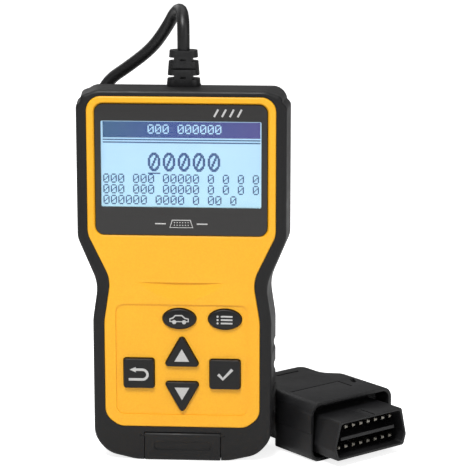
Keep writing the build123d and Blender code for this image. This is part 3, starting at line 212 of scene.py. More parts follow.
# ---- finishes


@dataclass(frozen=True)
class Finish:
    """A surface that goes by one name, and a slot name."""

    name: str
    slot: str

    def sockets(self, tree: Tree) -> dict:
        """Values and links for the shader's sockets."""
        raise NotImplementedError

    @lru_cache(maxsize=None)
    def material(self) -> bpy.types.Material:
        """The finish's material, made the first time that it is asked for.

        Returns:
            The one material of that finish.
        """
        material, tree = new_tree(self.name)
        shader = add(tree, "BsdfPrincipled", self.sockets(tree))
        add(tree, "OutputMaterial", {"Surface": shader.outputs["BSDF"]})
        return material


@dataclass(frozen=True)
class Moulded(Finish):
    """Plastic or rubber moulded against a spark-eroded tool: even colour with a slow mottle, a fine pebbled
    grain that breaks up the highlight, with painted shade in its hollows, and slow changes of gloss where it
    cooled unevenly or has been handled."""

    colour: str
    deep: str                 # painted shade in the hollows of the grain, and the darker side of the slow mottle
    roughness: tuple = (0.35, 0.5)
    grain: float = 0.45       # between peaks, drawn about twice as coarse as the real one so that it shows
    relief: float = 0.02
    ior: float = 1.53
    sheen: float = 0.0

    def sockets(self, tree: Tree) -> dict:
        """Colour and gloss that vary slowly, and the grain as bump, with painted shade in its hollows.

        Args:
            tree: The material's node tree.

        Returns:
            Socket names with their values and links.
        """
        pebbles = speckle(tree, self.grain, 1.5)
        slow = speckle(tree, 22.0, 3.0)
        rub = speckle(tree, 5.0, 4.0)
        # The grain's low points take the darker colour: painted shade in its hollows, mixed with the slow
        # mottle.
        colour = add(tree, "Mix", {0: 0.35, 6: mixed(tree, pebbles, self.deep, self.colour),
                                   7: mixed(tree, slow, self.deep, self.colour)}, data_type="RGBA")
        gloss = add(tree, "Mix", {0: 0.5, 2: span(tree, slow, *self.roughness),
                                  3: span(tree, rub, *self.roughness)}, data_type="FLOAT")
        return {"Base Color": colour.outputs[2], "Roughness": gloss.outputs[0], "IOR": self.ior,
                "Sheen Weight": self.sheen, "Sheen Roughness": 0.4,
                "Normal": bumped(tree, pebbles, 0.8, self.relief)}


@dataclass(frozen=True)
class Polished(Finish):
    """Black acrylic with its face polished: deep colour, a sharp reflection, and hairlines from wiping."""

    colour: str
    roughness: float = 0.12

    def sockets(self, tree: Tree) -> dict:
        """Gloss that changes along the hairlines, and dust as bump.

        Args:
            tree: The material's node tree.

        Returns:
            Socket names with their values and links.
        """
        hairs = noise(tree, (14.0, 5.0, 0.5), 5.0)
        return {"Base Color": linear(self.colour), "IOR": 1.49, "Coat Weight": 0.2, "Coat Roughness": 0.05,
                "Roughness": span(tree, hairs, self.roughness * 0.7, self.roughness * 1.6),
                "Normal": bumped(tree, speckle(tree, 0.7), 0.25, 0.004)}


@dataclass(frozen=True)
class ClearAcrylic(Finish):
    """Clear cast acrylic with an anti-glare coat, so that it shows the room only faintly on its face."""

    ior: float = 1.2          # under the 1.49 of bare acrylic, because the coat takes most of the glare

    def sockets(self, tree: Tree) -> dict:
        """Clear through, with a faint smear."""
        return {"Base Color": linear("#FBFDFF"), "Roughness": span(tree, speckle(tree, 9.0, 3.0), 0.0, 0.03),
                "IOR": self.ior, "Transmission Weight": 1.0}


@dataclass(frozen=True)
class DisplayCell(Finish):
    """Backlit liquid-crystal cell: a pale blue field that is a little brighter towards the light guide's
    lamps at its lower edge, with the fine grid of its electrodes."""

    glow: float = 0.84
    grid: float = 0.5         # between electrodes

    def sockets(self, tree: Tree) -> dict:
        """The lit field under its grid.

        Args:
            tree: The material's node tree.

        Returns:
            Socket names with their values and links.
        """
        up = across_pane(tree, "Z")
        plain = ramp(tree, up, ((0.0, "#C2ECF6"), (0.5, "#BCE2F8"), (1.0, "#B4D8F4")))
        cloud = mixed(tree, speckle(tree, 20.0), "#C4ECF8", "#B2DCF6")
        colour = add(tree, "Mix", {0: 0.4, 6: plain, 7: cloud}, data_type="RGBA").outputs[2]
        grid = add(tree, "TexBrick", {
            "Vector": scaled(tree, (self.grid,) * 3), "Scale": 1.0, "Mortar Size": 0.02,
            "Color1": (1, 1, 1, 1), "Color2": (1, 1, 1, 1), "Mortar": (0.9, 0.92, 0.95, 1)}, offset=0.0)
        lit = add(tree, "Mix", {0: 1.0, 6: colour, 7: grid.outputs["Color"]}, data_type="RGBA",
                  blend_type="MULTIPLY").outputs[2]
        return {"Base Color": linear("#4A6070"), "Roughness": 0.3, "Emission Color": lit,
                "Emission Strength": self.glow}


@dataclass(frozen=True)
class DisplayInk(Finish):
    """Darkened liquid-crystal dots: the top band runs from blue to violet, as it does seen at an angle,
    and the dots below it are a softer blue."""

    glow: float = 0.52
    band: float = 0.78        # share of the view's height at which the top band starts

    def sockets(self, tree: Tree) -> dict:
        """The band's colours over the body's.

        Args:
            tree: The material's node tree.

        Returns:
            Socket names with their values and links.
        """
        across = across_pane(tree, "X")
        top = ramp(tree, across, ((0.0, "#4C7AA8"), (0.45, "#5668BC"), (1.0, "#6A58B0")))
        body = ramp(tree, across, ((0.0, "#5A82B4"), (0.5, "#4F6EB4"), (1.0, "#5E82B4")))
        above = add(tree, "Math", {0: across_pane(tree, "Z"), 1: self.band}, operation="GREATER_THAN")
        colour = add(tree, "Mix", {0: above.outputs[0], 6: body, 7: top}, data_type="RGBA").outputs[2]
        return {"Base Color": linear("#1A2438"), "Roughness": 0.6, "Specular IOR Level": 0.0,
                "Emission Color": colour, "Emission Strength": self.glow}


@dataclass(frozen=True)
class Metal(Finish):
    """Turned, pressed or plated metal: a bright base with faint working marks and a little tarnish."""

    colour: str
    tarnish: str
    roughness: tuple = (0.22, 0.38)
    marks: tuple = (0.25, 0.25, 3.0)   # size of the working marks along each axis

    def sockets(self, tree: Tree) -> dict:
        """Marks as gloss and bump, and tarnish as colour.

        Args:
            tree: The material's node tree.

        Returns:
            Socket names with their values and links.
        """
        drawn = noise(tree, self.marks, 3.0)
        return {"Base Color": mixed(tree, speckle(tree, 2.5, 3.0), self.tarnish, self.colour),
                "Metallic": 1.0, "Roughness": span(tree, drawn, *self.roughness),
                "Normal": bumped(tree, drawn, 0.4, 0.01)}


@dataclass(frozen=True)
class Jacket(Finish):
    """Extruded PVC cable jacket: satin, with the faint lengthwise waviness of the cores under it."""

    colour: str
    deep: str

    def sockets(self, tree: Tree) -> dict:
        """Skin and cores as bump, and slow changes of colour.

        Args:
            tree: The material's node tree.

        Returns:
            Socket names with their values and links.
        """
        skin = speckle(tree, 0.9, 3.0)
        height = add(tree, "Math", {0: skin, 1: speckle(tree, 4.0, 1.0)}, operation="ADD").outputs[0]
        return {"Base Color": mixed(tree, speckle(tree, 12.0, 3.0), self.deep, self.colour),
                "Roughness": span(tree, skin, 0.34, 0.5), "IOR": 1.52,
                "Normal": bumped(tree, height, 0.5, 0.05)}


@dataclass(frozen=True)
class Woven(Finish):
    """Woven nylon hook-and-loop strap: crossed threads with fuzz that catches the light."""

    thread: float = 0.6

    def sockets(self, tree: Tree) -> dict:
        """Warp over weft as bump, and fuzz as sheen and as a painted highlight where it stands up.

        Args:
            tree: The material's node tree.

        Returns:
            Socket names with their values and links.
        """
        vector = scaled(tree, (self.thread * 2,) * 3)
        warp, weft = [add(tree, "TexWave", {"Vector": vector, "Scale": 1.0, "Distortion": 0.4},
                          bands_direction=axis).outputs["Fac"] for axis in "XY"]
        crossed = add(tree, "Math", {0: warp, 1: weft}, operation="MAXIMUM").outputs[0]
        fuzz = speckle(tree, 0.5, 4.0)
        height = add(tree, "Math", {0: crossed, 1: fuzz}, operation="ADD").outputs[0]
        # The fuzz that stands up is painted lighter: a painted highlight.
        return {"Base Color": mixed(tree, fuzz, "#141416", "#2C2C30"), "Roughness": 0.85,
                "Sheen Weight": 0.5, "Sheen Roughness": 0.5, "Normal": bumped(tree, height, 0.9, 0.12)}


@dataclass(frozen=True)
class SolderMask(Finish):
    """Epoxy-glass board under green solder mask: buried tracks show as paler, slightly raised lines."""

    pitch: float = 2.4        # between tracks

    def sockets(self, tree: Tree) -> dict:
        """Tracks as colour and bump.

        Args:
            tree: The material's node tree.

        Returns:
            Socket names with their values and links.
        """
        tracks = add(tree, "TexBrick", {
            "Vector": scaled(tree, (self.pitch,) * 3), "Scale": 1.0, "Mortar Size": 0.09,
            "Mortar Smooth": 0.2}).outputs["Fac"]
        return {"Base Color": ramp(tree, tracks, ((0.0, "#0E4A2A"), (1.0, "#2C7A48"))), "IOR": 1.55,
                "Roughness": span(tree, speckle(tree, 3.0), 0.18, 0.32),
                "Normal": bumped(tree, tracks, 0.6, 0.035)}


# The second colour of each moulded finish is painted shade in the hollows of the grain, and the darker side
# of its slow mottle.
YELLOW_ABS = Moulded("yellow_abs", "yellow_plastic", "#FDBA1E", "#F9B016", (0.36, 0.48), 0.55, 0.012)
GRIP_TPE = Moulded("black_tpe_grip", "black_grip", "#131314", "#0D0D0E", (0.4, 0.58), 0.6, 0.03, 1.43, 0.02)
SHELL_ABS = Moulded("black_abs_shell", "black_shell", "#131314", "#0D0D0E", (0.38, 0.54), 0.55, 0.03, 1.43)
PLUG_NYLON = Moulded("black_nylon_plug", "plug_black", "#19191B", "#111112", (0.38, 0.56), 0.6, 0.035, 1.46)
KEY_ABS = Moulded("black_key_caps", "key_black", "#121213", "#0D0D0E", (0.36, 0.5), 0.4, 0.02, 1.43)
SOFT_PVC = Moulded("soft_pvc_mouldings", "cable_black", "#1B1B1D", "#131314", (0.38, 0.52), 0.7, 0.03, 1.46)
SILICONE = Moulded("silicone_sheet", "silicone", "#B9BBBD", "#A4A6A9", (0.5, 0.65), 0.8, 0.03)
FOAM = Moulded("closed_cell_foam", "foam", "#2A2A2C", "#151516", (0.8, 0.95), 0.35, 0.12)
GUIDE = Moulded("milky_light_guide", "light_guide", "#F1F5F7", "#E2EAEE", (0.25, 0.35), 0.8, 0.01)
CHIP_EPOXY = Moulded("moulded_epoxy", "chip_black", "#1C1D20", "#121315", (0.5, 0.65), 0.3, 0.02)
NYLON_WHITE = Moulded("natural_nylon", "connector_white", "#E9E4D6", "#D9D3C2", (0.4, 0.55), 0.6, 0.02)
WIRE_PVC = Moulded("wire_insulation", "wire", "#A8322C", "#8C2420", (0.3, 0.42), 0.8, 0.01)
LEGEND_INK = Moulded("pad_printed_ink", "key_black", "#C9C9C8", "#B9B9B8", (0.45, 0.6), 0.3, 0.01)
LABEL_FILM = Moulded("satin_polyester_label", "label_film", "#D5D6D4", "#C8C9C7", (0.3, 0.42), 0.5, 0.006)
LABEL_INK = Moulded("label_print", "label_film", "#3A3B3D", "#2C2D2F", (0.45, 0.55), 0.3, 0.004)
WINDOW_ACRYLIC = Polished("black_acrylic_window", "window_black", "#161413")
STEEL = Metal("zinc_plated_steel", "steel", "#C4C6C8", "#8E9092")
TIN_CAN = Metal("drawn_aluminium_cans", "can_silver", "#D2D4D6", "#A6A8AB", (0.25, 0.4))
CONTACT = Metal("tin_plated_brass", "contact_metal", "#98958D", "#6E6B63", (0.25, 0.4))
CLEAR = ClearAcrylic("clear_acrylic_pane", "clear")
CELL = DisplayCell("backlit_display_cell", "display_cell")
INK = DisplayInk("darkened_display_dots", "display_cell")
JACKET = Jacket("pvc_cable_jacket", "cable_black", "#131314", "#0C0C0D")
STRAP = Woven("woven_nylon_strap", "strap")
BOARD = SolderMask("green_solder_mask", "board_green")


def dress(piece: Piece, finish: Finish) -> Piece:
    """Give a piece or a carried-over node its finish, and return it.

    Args:
        piece: The piece or node.
        finish: Its finish.

    Returns:
        The same piece.
    """
    piece.data.materials.clear()
    piece.data.materials.append(finish.material())
    return piece


def dress_nodes(finishes: dict[str, Finish]) -> list[Piece]:
    """Give carried-over nodes their finishes, and return them."""
    return [dress(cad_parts[node], finish) for node, finish in finishes.items()]


def settle(piece: Piece, finish: Finish, body: str = CASE, nodes: Iterable[str] = ()) -> Piece:
    """Finish a new piece: its material, the body that it rides on and the nodes that it stands for.

    Args:
        piece: The new piece, its place in its mesh.
        finish: Its finish.
        body: The body that carries it.
        nodes: The nodes that it replaces.

    Returns:
        The same piece.
    """
    dress(piece, finish)
    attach(piece, body)
    if nodes:
        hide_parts(*nodes)
    log.info("%s rides on %s", piece.name, body)
    return piece


# ---- modelling tools


class Part(Enum):
    """What an edit selects."""

    EDGES = "edges"
    FACES = "faces"


def alone(piece: Piece) -> None:
    """Select one object and nothing else.

    Args:
        piece: The object to select.
    """
    if bpy.context.object and bpy.context.object.mode != "OBJECT":
        bpy.ops.object.mode_set(mode="OBJECT")
    bpy.ops.object.select_all(action="DESELECT")
    piece.select_set(True)
    bpy.context.view_layer.objects.active = piece


def linked(name: str, data: bpy.types.ID) -> Piece:
    """A new object in the scene, round its data.

    Args:
        name: The object's name.
        data: Its mesh, curve, camera or lamp.

    Returns:
        The new object.
    """
    made = bpy.data.objects.new(name, data)
    bpy.context.scene.collection.objects.link(made)
    return made


def begin(primitive: Callable, name: str, **settings) -> Piece:
    """Add a primitive with nothing else selected.

    Args:
        primitive: The operator that adds it.
        name: The new piece's name.
        **settings: The operator's own settings.

    Returns:
        The new object.
    """
    bpy.ops.object.select_all(action="DESELECT")
    primitive(**settings)
    piece = bpy.context.object
    piece.name = name
    piece.data.name = name
    return piece


@contextmanager
def picking(piece: Piece, part: Part, wanted: Callable) -> Iterator[None]:
    """Open a piece in edit mode with the wanted elements selected.

    Args:
        piece: The piece to edit.
        part: The kind of element to select.
        wanted: Says of an element whether it is selected.
    """
    alone(piece)
    bpy.ops.object.mode_set(mode="EDIT")
    bpy.context.tool_settings.mesh_select_mode = [False, part is Part.EDGES, part is Part.FACES]
    bpy.ops.mesh.select_all(action="DESELECT")
    mesh = bmesh.from_edit_mesh(piece.data)
    for element in getattr(mesh, part.value):
        if wanted(element):
            element.select_set(True)
    mesh.select_flush_mode()
    bmesh.update_edit_mesh(piece.data)
    yield
    bpy.ops.object.mode_set(mode="OBJECT")


def everything(_element: bmesh.types.BMEdge | bmesh.types.BMFace) -> bool:
    """Select all."""
    return True


def along(axis: int) -> Callable:
    """A test for edges that run along the axis of that number.

    Args:
        axis: 0 for X, 1 for Y or 2 for Z.

    Returns:
        The test, to be given to picking.
    """
    def test(edge: bmesh.types.BMEdge) -> bool:
        """Whether this edge does."""
        run = edge.verts[0].co - edge.verts[1].co
        return abs(run[axis]) > 0.9 * run.length
    return test


def sink(piece: Piece) -> Piece:
    """Put an object's place, turn and scale into its mesh.

    Args:
        piece: The piece that was moved, turned or scaled.

    Returns:
        The same piece.
    """
    alone(piece)
    bpy.ops.object.transform_apply(location=True, rotation=True, scale=True)
    return piece


def smooth(piece: Piece, degrees: float = 35.0) -> Piece:
    """Shade smooth, but not across sharper edges.

    Args:
        piece: The piece.
        degrees: The least angle of an edge that stays sharp.

    Returns:
        The same piece.
    """
    alone(piece)
    bpy.ops.object.shade_smooth_by_angle(angle=math.radians(degrees))
    return piece


def modified(piece: Piece, kind: str, **settings) -> Piece:
    """Add a modifier and apply it.

    Args:
        piece: The piece.
        kind: The modifier's type.
        **settings: The modifier's attributes.

    Returns:
        The same piece.
    """
    alone(piece)
    modifier = piece.modifiers.new(kind.title(), kind)
    for key, value in settings.items():
        setattr(modifier, key, value)
    bpy.ops.object.modifier_apply(modifier=modifier.name)
    return piece


def joined(name: str, pieces: Sequence[Piece]) -> Piece:
    """Join pieces into one object with that name.

    Args:
        name: The whole's name.
        pieces: What is joined.

    Returns:
        The whole.
    """
    alone(pieces[0])
    for piece in pieces:
        piece.select_set(True)
    bpy.ops.object.join()
    pieces[0].name = name
    pieces[0].data.name = name
    return pieces[0]


def softened(node: str, name: str, radius: float, finish: Finish, body: str = CASE,
             merge: bool = True) -> Piece:
    """Put a copy of a node in its place, with its sharp edges rounded as a mould rounds them.

    Args:
        node: The node to copy.
        name: The new piece's name.
        radius: The edges' radius, in millimetres.
        finish: Its finish.
        body: The body that carries it.
        merge: Whether the triangles of flat faces are merged first.

    Returns:
        The new piece.
    """
    piece = linked(name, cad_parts[node].data.copy())
    alone(piece)
    bpy.ops.mesh.customdata_custom_splitnormals_clear()
    with picking(piece, Part.EDGES, everything):
        bpy.ops.mesh.remove_doubles(threshold=SAME_PLACE)
        if merge:
            bpy.ops.mesh.dissolve_limited(angle_limit=FLAT)
        bpy.ops.mesh.select_all(action="DESELECT")
        bpy.ops.mesh.edges_select_sharp(sharpness=SHARP)
        bpy.ops.mesh.bevel(offset=radius * MM, segments=2, affect="EDGES", clamp_overlap=True)
    return settle(smooth(piece), finish, body, (node,))


def rod(name: str, kind: str, points: Sequence[tuple], width: float, rounds: int) -> Piece:
    """A round bar along points, as a curve.

    Args:
        name: The curve's name.
        kind: Its spline's type, in Blender's words.
        points: Where it runs, in millimetres.
        width: Its diameter in millimetres.
        rounds: How finely its section is rounded.

    Returns:
        The curve's object.
    """
    curve = bpy.data.curves.new(name, "CURVE")
    curve.dimensions = "3D"
    curve.resolution_u = 10
    curve.bevel_depth = width / 2 * MM
    curve.bevel_resolution = rounds
    curve.use_fill_caps = True
    spline = curve.splines.new(kind)
    spline.points.add(len(points) - 1)
    for knot, point in zip(spline.points, points):
        knot.co = (*[v * MM for v in point], 1.0)
    return linked(name, curve)


# ---- the room


@dataclass
class Studio:
    """Pale floor, soft lamps, white surroundings and the camera, in metres and degrees."""

    target: tuple = (0.0206, 0.0, 0.09165)
    distance: float = 0.9
    azimuth: float = 3.5
    elevation: float = 12.5
    view_width: float = 0.1902834      # across the square view at the target
    sensor: float = 36.0
    floor_glow: float = 0.8
    world_light: float = 0.22
    lamps: tuple = (                   # name, place, side and power in watts
        ("key_lamp", (-0.2, -0.7, 1.12), 0.4, 13.0), ("fill_lamp", (0.95, -0.75, 0.55), 0.8, 2.6),
        ("top_lamp", (0.1, 0.35, 1.2), 0.9, 2.6), ("back_lamp", (-0.7, 0.9, 0.8), 0.8, 3.0),
    )

    def camera(self) -> None:
        """Place the camera."""
        turn, rise = math.radians(self.azimuth), math.radians(self.elevation)
        away = Vector((math.sin(turn) * math.cos(rise), -math.cos(turn) * math.cos(rise), math.sin(rise)))
        data = bpy.data.cameras.new("camera")
        data.sensor_width = self.sensor
        data.lens = self.sensor * self.distance / self.view_width
        data.clip_start, data.clip_end = 0.05, 20.0
        made = linked("camera", data)
        made.location = Vector(self.target) + away * self.distance
        made.rotation_euler = away.to_track_quat("Z", "Y").to_euler()
        bpy.context.scene.camera = made

    def seen_rays(self, tree: Tree) -> Socket:
        """One for camera and transmission rays, and nought for the rest.

        Args:
            tree: The material's node tree.

        Returns:
            The switch between the two.
        """
        path = add(tree, "LightPath")
        return add(tree, "Math", {0: path.outputs["Is Camera Ray"], 1: path.outputs["Is Transmission Ray"]},
                   operation="MAXIMUM").outputs[0]

    def floor(self) -> None:
        """A wide pale floor that keeps the object's shadow."""
        made = begin(bpy.ops.mesh.primitive_plane_add, "floor", size=12.0, location=(0, 0, 0))
        material, tree = new_tree("matt_white_paper")
        tint = mixed(tree, speckle(tree, 60.0, 3.0), "#F2F2F2", "#F5F5F5")
        paper = add(tree, "BsdfDiffuse", {"Color": tint})
        glow = add(tree, "Emission", {"Color": (1, 1, 1, 1), "Strength": self.floor_glow})
        dark = add(tree, "Emission", {"Color": (0, 0, 0, 1), "Strength": 0.0})
        choice = add(tree, "MixShader", {0: self.seen_rays(tree), 1: dark.outputs[0], 2: glow.outputs[0]})
        both = add(tree, "AddShader", {0: paper.outputs[0], 1: choice.outputs[0]})
        add(tree, "OutputMaterial", {"Surface": both.outputs[0]})
        made.data.materials.append(material)

    def world(self) -> None:
        """White to the eye and through the pane, and softer as a light and in reflections."""
        world = bpy.data.worlds.new("studio")
        bpy.context.scene.world = world
        world.use_nodes = True
        tree = world.node_tree
        tree.nodes.clear()
        strength = add(tree, "MapRange", {"Value": self.seen_rays(tree), "To Min": self.world_light})
        shade = add(tree, "Background", {"Color": (1, 1, 1, 1), "Strength": strength.outputs["Result"]})
        add(tree, "OutputWorld", {"Surface": shade.outputs[0]})

    def light(self) -> None:
        """Square soft lamps aimed at the object."""
        for name, place, size, power in self.lamps:
            data = bpy.data.lights.new(name, "AREA")
            data.size, data.energy = size, power
            made = linked(name, data)
            made.location = place
            made.rotation_euler = (Vector(place) - Vector(self.target)).to_track_quat("Z", "Y").to_euler()

    def build(self) -> None:
        """Make the whole room."""
        self.camera()
        self.floor()
        self.world()
        self.light()
        bpy.context.scene.view_settings.view_transform = "Standard"
        log.info("studio is ready")


# ---- the lead


@dataclass
class Lead:
    """The round lead: over a tight bend, down behind the case, a flat coil, and up to the plug."""

    diameter: float = 5.0
    length: float = 0.686
    coil_centre: tuple = (-8.0, 62.0)
    coil_height: float = 3.6
    coil_inner: float = 20.0
    coil_pitch: float = 5.2
    coil_turns: float = 2.506
    coil_start: float = 215.0     # where the lead joins the outer turn, in degrees
    points_per_turn: int = 14
    upper: tuple = (
        (0.0, 1.0, 166.7), (0.0, 1.0, 174.4), (-0.4, 3.8, 179.4), (-1.6, 8.8, 182.2),
        (-4.3, 13.9, 180.6), (-7.6, 17.0, 174.4), (-14.0, 18.6, 165.2), (-23.8, 20.6, 157.4),
        (-33.6, 23.4, 150.6), (-38.4, 27.0, 139.6), (-38.2, 30.4, 123.0), (-33.6, 33.0, 100.0),
        (-28.6, 34.4, 74.0), (-26.4, 33.4, 48.0), (-27.4, 32.2, 28.0), (-30.8, 34.2, 13.0),
        (-35.2, 42.0, 4.4),
    )
    lower: tuple = (
        (28.42, 44.91, 12.5), (25.07, 48.63, 12.5), (20.6, 54.4, 11.6), (16.2, 61.4, 9.6),
        (12.6, 67.8, 6.8), (8.6, 73.6, 3.6),
    )

    def coil(self) -> list[tuple]:
        """Points of the turns, from the outer one in, clockwise from above.

        Returns:
            Points in millimetres.
        """
        steps = round(self.coil_turns * self.points_per_turn)
        points = []
        for step in range(1, steps):
            done = step / steps
            angle = math.radians(self.coil_start - 360 * self.coil_turns * done)
            radius = self.coil_inner + self.coil_pitch * self.coil_turns * (1 - done)
            points.append((self.coil_centre[0] + radius * math.cos(angle),
                           self.coil_centre[1] + radius * math.sin(angle), self.coil_height))
        return points

    def build(self) -> Piece:
        """Make the lead as one spline.

        Returns:
            The lead, as a curve of one open spline.
        """
        made = rod("lead", "NURBS", (*self.upper, *self.coil(), *reversed(self.lower)), self.diameter, 5)
        spline = made.data.splines[0]
        spline.order_u = 3
        spline.use_endpoint_u = True
        return settle(made, JACKET, nodes=("cable_upper", "cable_lower", "cable_coil"))


# ---- the display


@dataclass
class Dots:
    """A field of square dots, of which the chosen ones stand a little proud of a flat face."""

    name: str
    columns: int
    rows: int
    low: Vector               # lower left corner of the field, on the face
    high: Vector              # upper right corner of the field
    facing: float = -1.0      # -1 for a face towards the front and 1 for one towards the back
    gap: float = 0.02         # between dots, as a share of a dot
    proud: float = 0.03       # millimetres

    def build(self, lit: Callable) -> Piece:
        """Make the dots.

        Args:
            lit: Says of a column and a row, counted from the upper left as it is read, whether it shows.

        Returns:
            One piece with every dot in it.
        """
        piece = begin(bpy.ops.mesh.primitive_grid_add, self.name, x_subdivisions=self.columns,
                      y_subdivisions=self.rows, size=1.0)
        wide, high = self.high.x - self.low.x, self.high.z - self.low.z

        def dark(face: bmesh.types.BMFace) -> bool:
            """Whether the dot at this face doesn't show.

            Args:
                face: The dot's face.

            Returns:
                True where it doesn't.
            """
            middle = face.calc_center_median()
            column = int((middle.x + 0.5) * self.columns)
            return not lit(column, int((0.5 - middle.y) * self.rows))

        with picking(piece, Part.FACES, dark):
            bpy.ops.mesh.delete(type="FACE")
        with picking(piece, Part.FACES, everything):
            bpy.ops.mesh.inset(thickness=self.gap / self.columns, use_individual=True)
            bpy.ops.mesh.select_all(action="INVERT")
            bpy.ops.mesh.delete(type="FACE")
        turn = Matrix.Rotation(math.radians(90), 4, "X")
        if self.facing > 0:
            turn = Matrix.Rotation(math.radians(180), 4, "Z") @ turn
        piece.matrix_world = (Matrix.Translation((self.low + self.high) / 2) @ turn
                              @ Matrix.Diagonal((wide, high, 1.0, 1.0)))
        sink(piece)
        return modified(piece, "SOLIDIFY", thickness=self.proud * MM, offset=1.0)


def zero_dot(column: int, row: int) -> bool:
    """Whether a slashed nought of five by seven dots is lit there.

    Args:
        column: Its column within the figure.
        row: Its row within the figure.

    Returns:
        True where the dot is lit.
    """
    sides = column in (0, 4) and 1 <= row <= 5
    ends = row in (0, 6) and 1 <= column <= 3
    return sides or ends or (1 <= column <= 3 and row == 5 - column)


def bold_nought_dot(column: int, row: int) -> bool:
    """Whether a slashed nought of ten by fourteen dots, with strokes two dots wide, is lit there.

    Args:
        column: Its column within the figure.
        row: Its row within the figure.

    Returns:
        True where the dot is lit.
    """
    across, down = column - 4.5, row - 6.5
    outside = (across / 5.1) ** 2 + (down / 7.2) ** 2 > 1
    hollow = (across / 2.9) ** 2 + (down / 5.1) ** 2 < 1
    return not outside and (not hollow or abs(across + 0.55 * down) < 0.9)


@dataclass
class Readout:
    """What the display shows: a band with a row of noughts, a double rule, five large noughts with a
    cursor under the first, and three rows of small ones."""

    columns: int = 128
    rows: int = 64
    cell: int = 6             # columns from one small figure to the next
    band: tuple = (1, 12)
    rules: tuple = (14, 16)
    large_row: int = 24
    large_column: int = 37
    large_pitch: int = 12
    large_count: int = 5
    cursor_row: int = 39
    small_rows: tuple = (40, 48, 56)
    groups: tuple = ((3, 3, 5, 1, 1, 1, 1), (3, 3, 5, 1, 1, 1, 1), (6, 4, 1, 2, 1))
    band_groups: tuple = (3, 6)
    band_column: int = 37

    def filled(self, groups: tuple) -> set:
        """Places of the figures in a row, by the lengths of its groups.

        Args:
            groups: Lengths of the groups, which stand one place apart.

        Returns:
            The places, counted from nought.
        """
        places, place = set(), 0
        for length in groups:
            places.update(range(place, place + length))
            place += length + 1
        return places

    def small(self, column: int, row: int) -> bool:
        """Whether a dot of a small row is lit.

        Args:
            column: The dot's column, from the left.
            row: Its row, from the top.

        Returns:
            True where the dot is lit.
        """
        for top, groups in zip(self.small_rows, self.groups):
            if top <= row < top + 7:
                place, offset = divmod(column - 1, self.cell)
                return place in self.filled(groups) and offset < 5 and zero_dot(offset, row - top)
        return False

    def large(self, column: int, row: int) -> bool:
        """Whether a dot of a large figure is lit.

        Args:
            column: The dot's column, from the left.
            row: Its row, from the top.

        Returns:
            True where the dot is lit.
        """
        place, offset = divmod(column - self.large_column, self.large_pitch)
        if not 0 <= place < self.large_count:
            return False
        if row == self.cursor_row:
            return place == 0 and offset < 10
        down = row - self.large_row
        return offset < 10 and 0 <= down < 14 and bold_nought_dot(offset, down)

    def title(self, column: int, row: int) -> bool:
        """Whether a dot of the band is part of a pale figure.

        Args:
            column: The dot's column, from the left.
            row: Its row, from the top.

        Returns:
            True where the dot stays pale.
        """
        place, offset = divmod(column - self.band_column, self.cell)
        down = row - self.band[0] - 2
        inside = place in self.filled(self.band_groups) and offset < 5 and 0 <= down < 7
        return inside and zero_dot(offset, down)

    def lit(self, column: int, row: int) -> bool:
        """Whether a dot is dark on the display.

        Args:
            column: The dot's column, from the left.
            row: Its row, from the top.

        Returns:
            True where the dot is lit.
        """
        inside = 1 <= column < self.columns - 1
        if self.band[0] <= row <= self.band[1]:
            return inside and not self.title(column, row)
        if row in self.rules:
            return inside
        return self.small(column, row) or self.large(column, row)

    def build(self) -> None:
        """Dress the display's layers and lay the dots on the cell."""
        low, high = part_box("window_pane")
        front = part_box("lcd_glass")[0].y
        dots = Dots("display_dots", self.columns, self.rows, Vector((low.x, front, low.z)),
                    Vector((high.x, front, high.z)))
        settle(dots.build(self.lit), INK)
        dress_nodes({"lcd_glass": CELL, "lcd_backlight": GUIDE, "lcd_gasket": FOAM, "lcd_bezel": STEEL,
                     "window_pane": CLEAR})


# ---- printed marks


@dataclass
class Mark:
    """A mark pad-printed on a face towards the front: strokes and filled shapes, a hair proud of it."""

    name: str
    x: float
    z: float
    face: float               # y of the face, in metres
    proud: float = 0.06       # millimetres
    pieces: list = field(default_factory=list)

    def stroke(self, points: Sequence[tuple], width: float, closed: bool = False) -> None:
        """A stroke of even width with round ends.

        Args:
            points: Its middle line in (x, z), in millimetres from the mark's middle.
            width: Its width in millimetres.
            closed: Whether it runs back to its start.
        """
        made = rod(self.name, "POLY", [(x, 0.0, z) for x, z in points], width, 2)
        made.data.splines[0].use_cyclic_u = closed
        alone(made)
        bpy.ops.object.convert(target="MESH")
        made.scale = (1.0, 2 * self.proud / width, 1.0)
        made.location = (self.x, self.face, self.z)
        self.pieces.append(sink(made))

    def solid(self, points: Sequence[tuple]) -> None:
        """A filled shape.

        Args:
            points: Its outline in (x, z), in millimetres from the mark's middle, anticlockwise.
        """
        made = begin(bpy.ops.mesh.primitive_circle_add, self.name, vertices=len(points), radius=1.0,
                     fill_type="NGON")
        for vertex, (x, z) in zip(made.data.vertices, points):
            vertex.co = (x * MM, 0.0, z * MM)
        with picking(made, Part.FACES, everything):
            bpy.ops.mesh.extrude_region_move(TRANSFORM_OT_translate={"value": (0, -self.proud * MM, 0)})
            bpy.ops.mesh.select_all(action="SELECT")
            bpy.ops.mesh.normals_make_consistent(inside=False)
        made.location = (self.x, self.face, self.z)
        self.pieces.append(sink(made))

    def build(self, body: str) -> None:
        """Join the mark and let it ride on a body."""
        settle(smooth(joined(self.name, self.pieces)), LEGEND_INK, body)


def arc(x: float, z: float, radius: float, start: float, stop: float, steps: int = 10) -> list[tuple]:
    """Points along an arc.

    Args:
        x: Its middle across.
        z: Its middle up.
        radius: Its radius.
        start: Its first angle, in degrees.
        stop: Its last angle.
        steps: How many runs it has.

    Returns:
        Points in (x, z).
    """
    turns = [math.radians(start + (stop - start) * step / steps) for step in range(steps + 1)]
    return [(x + radius * math.cos(turn), z + radius * math.sin(turn)) for turn in turns]


# ---- keys


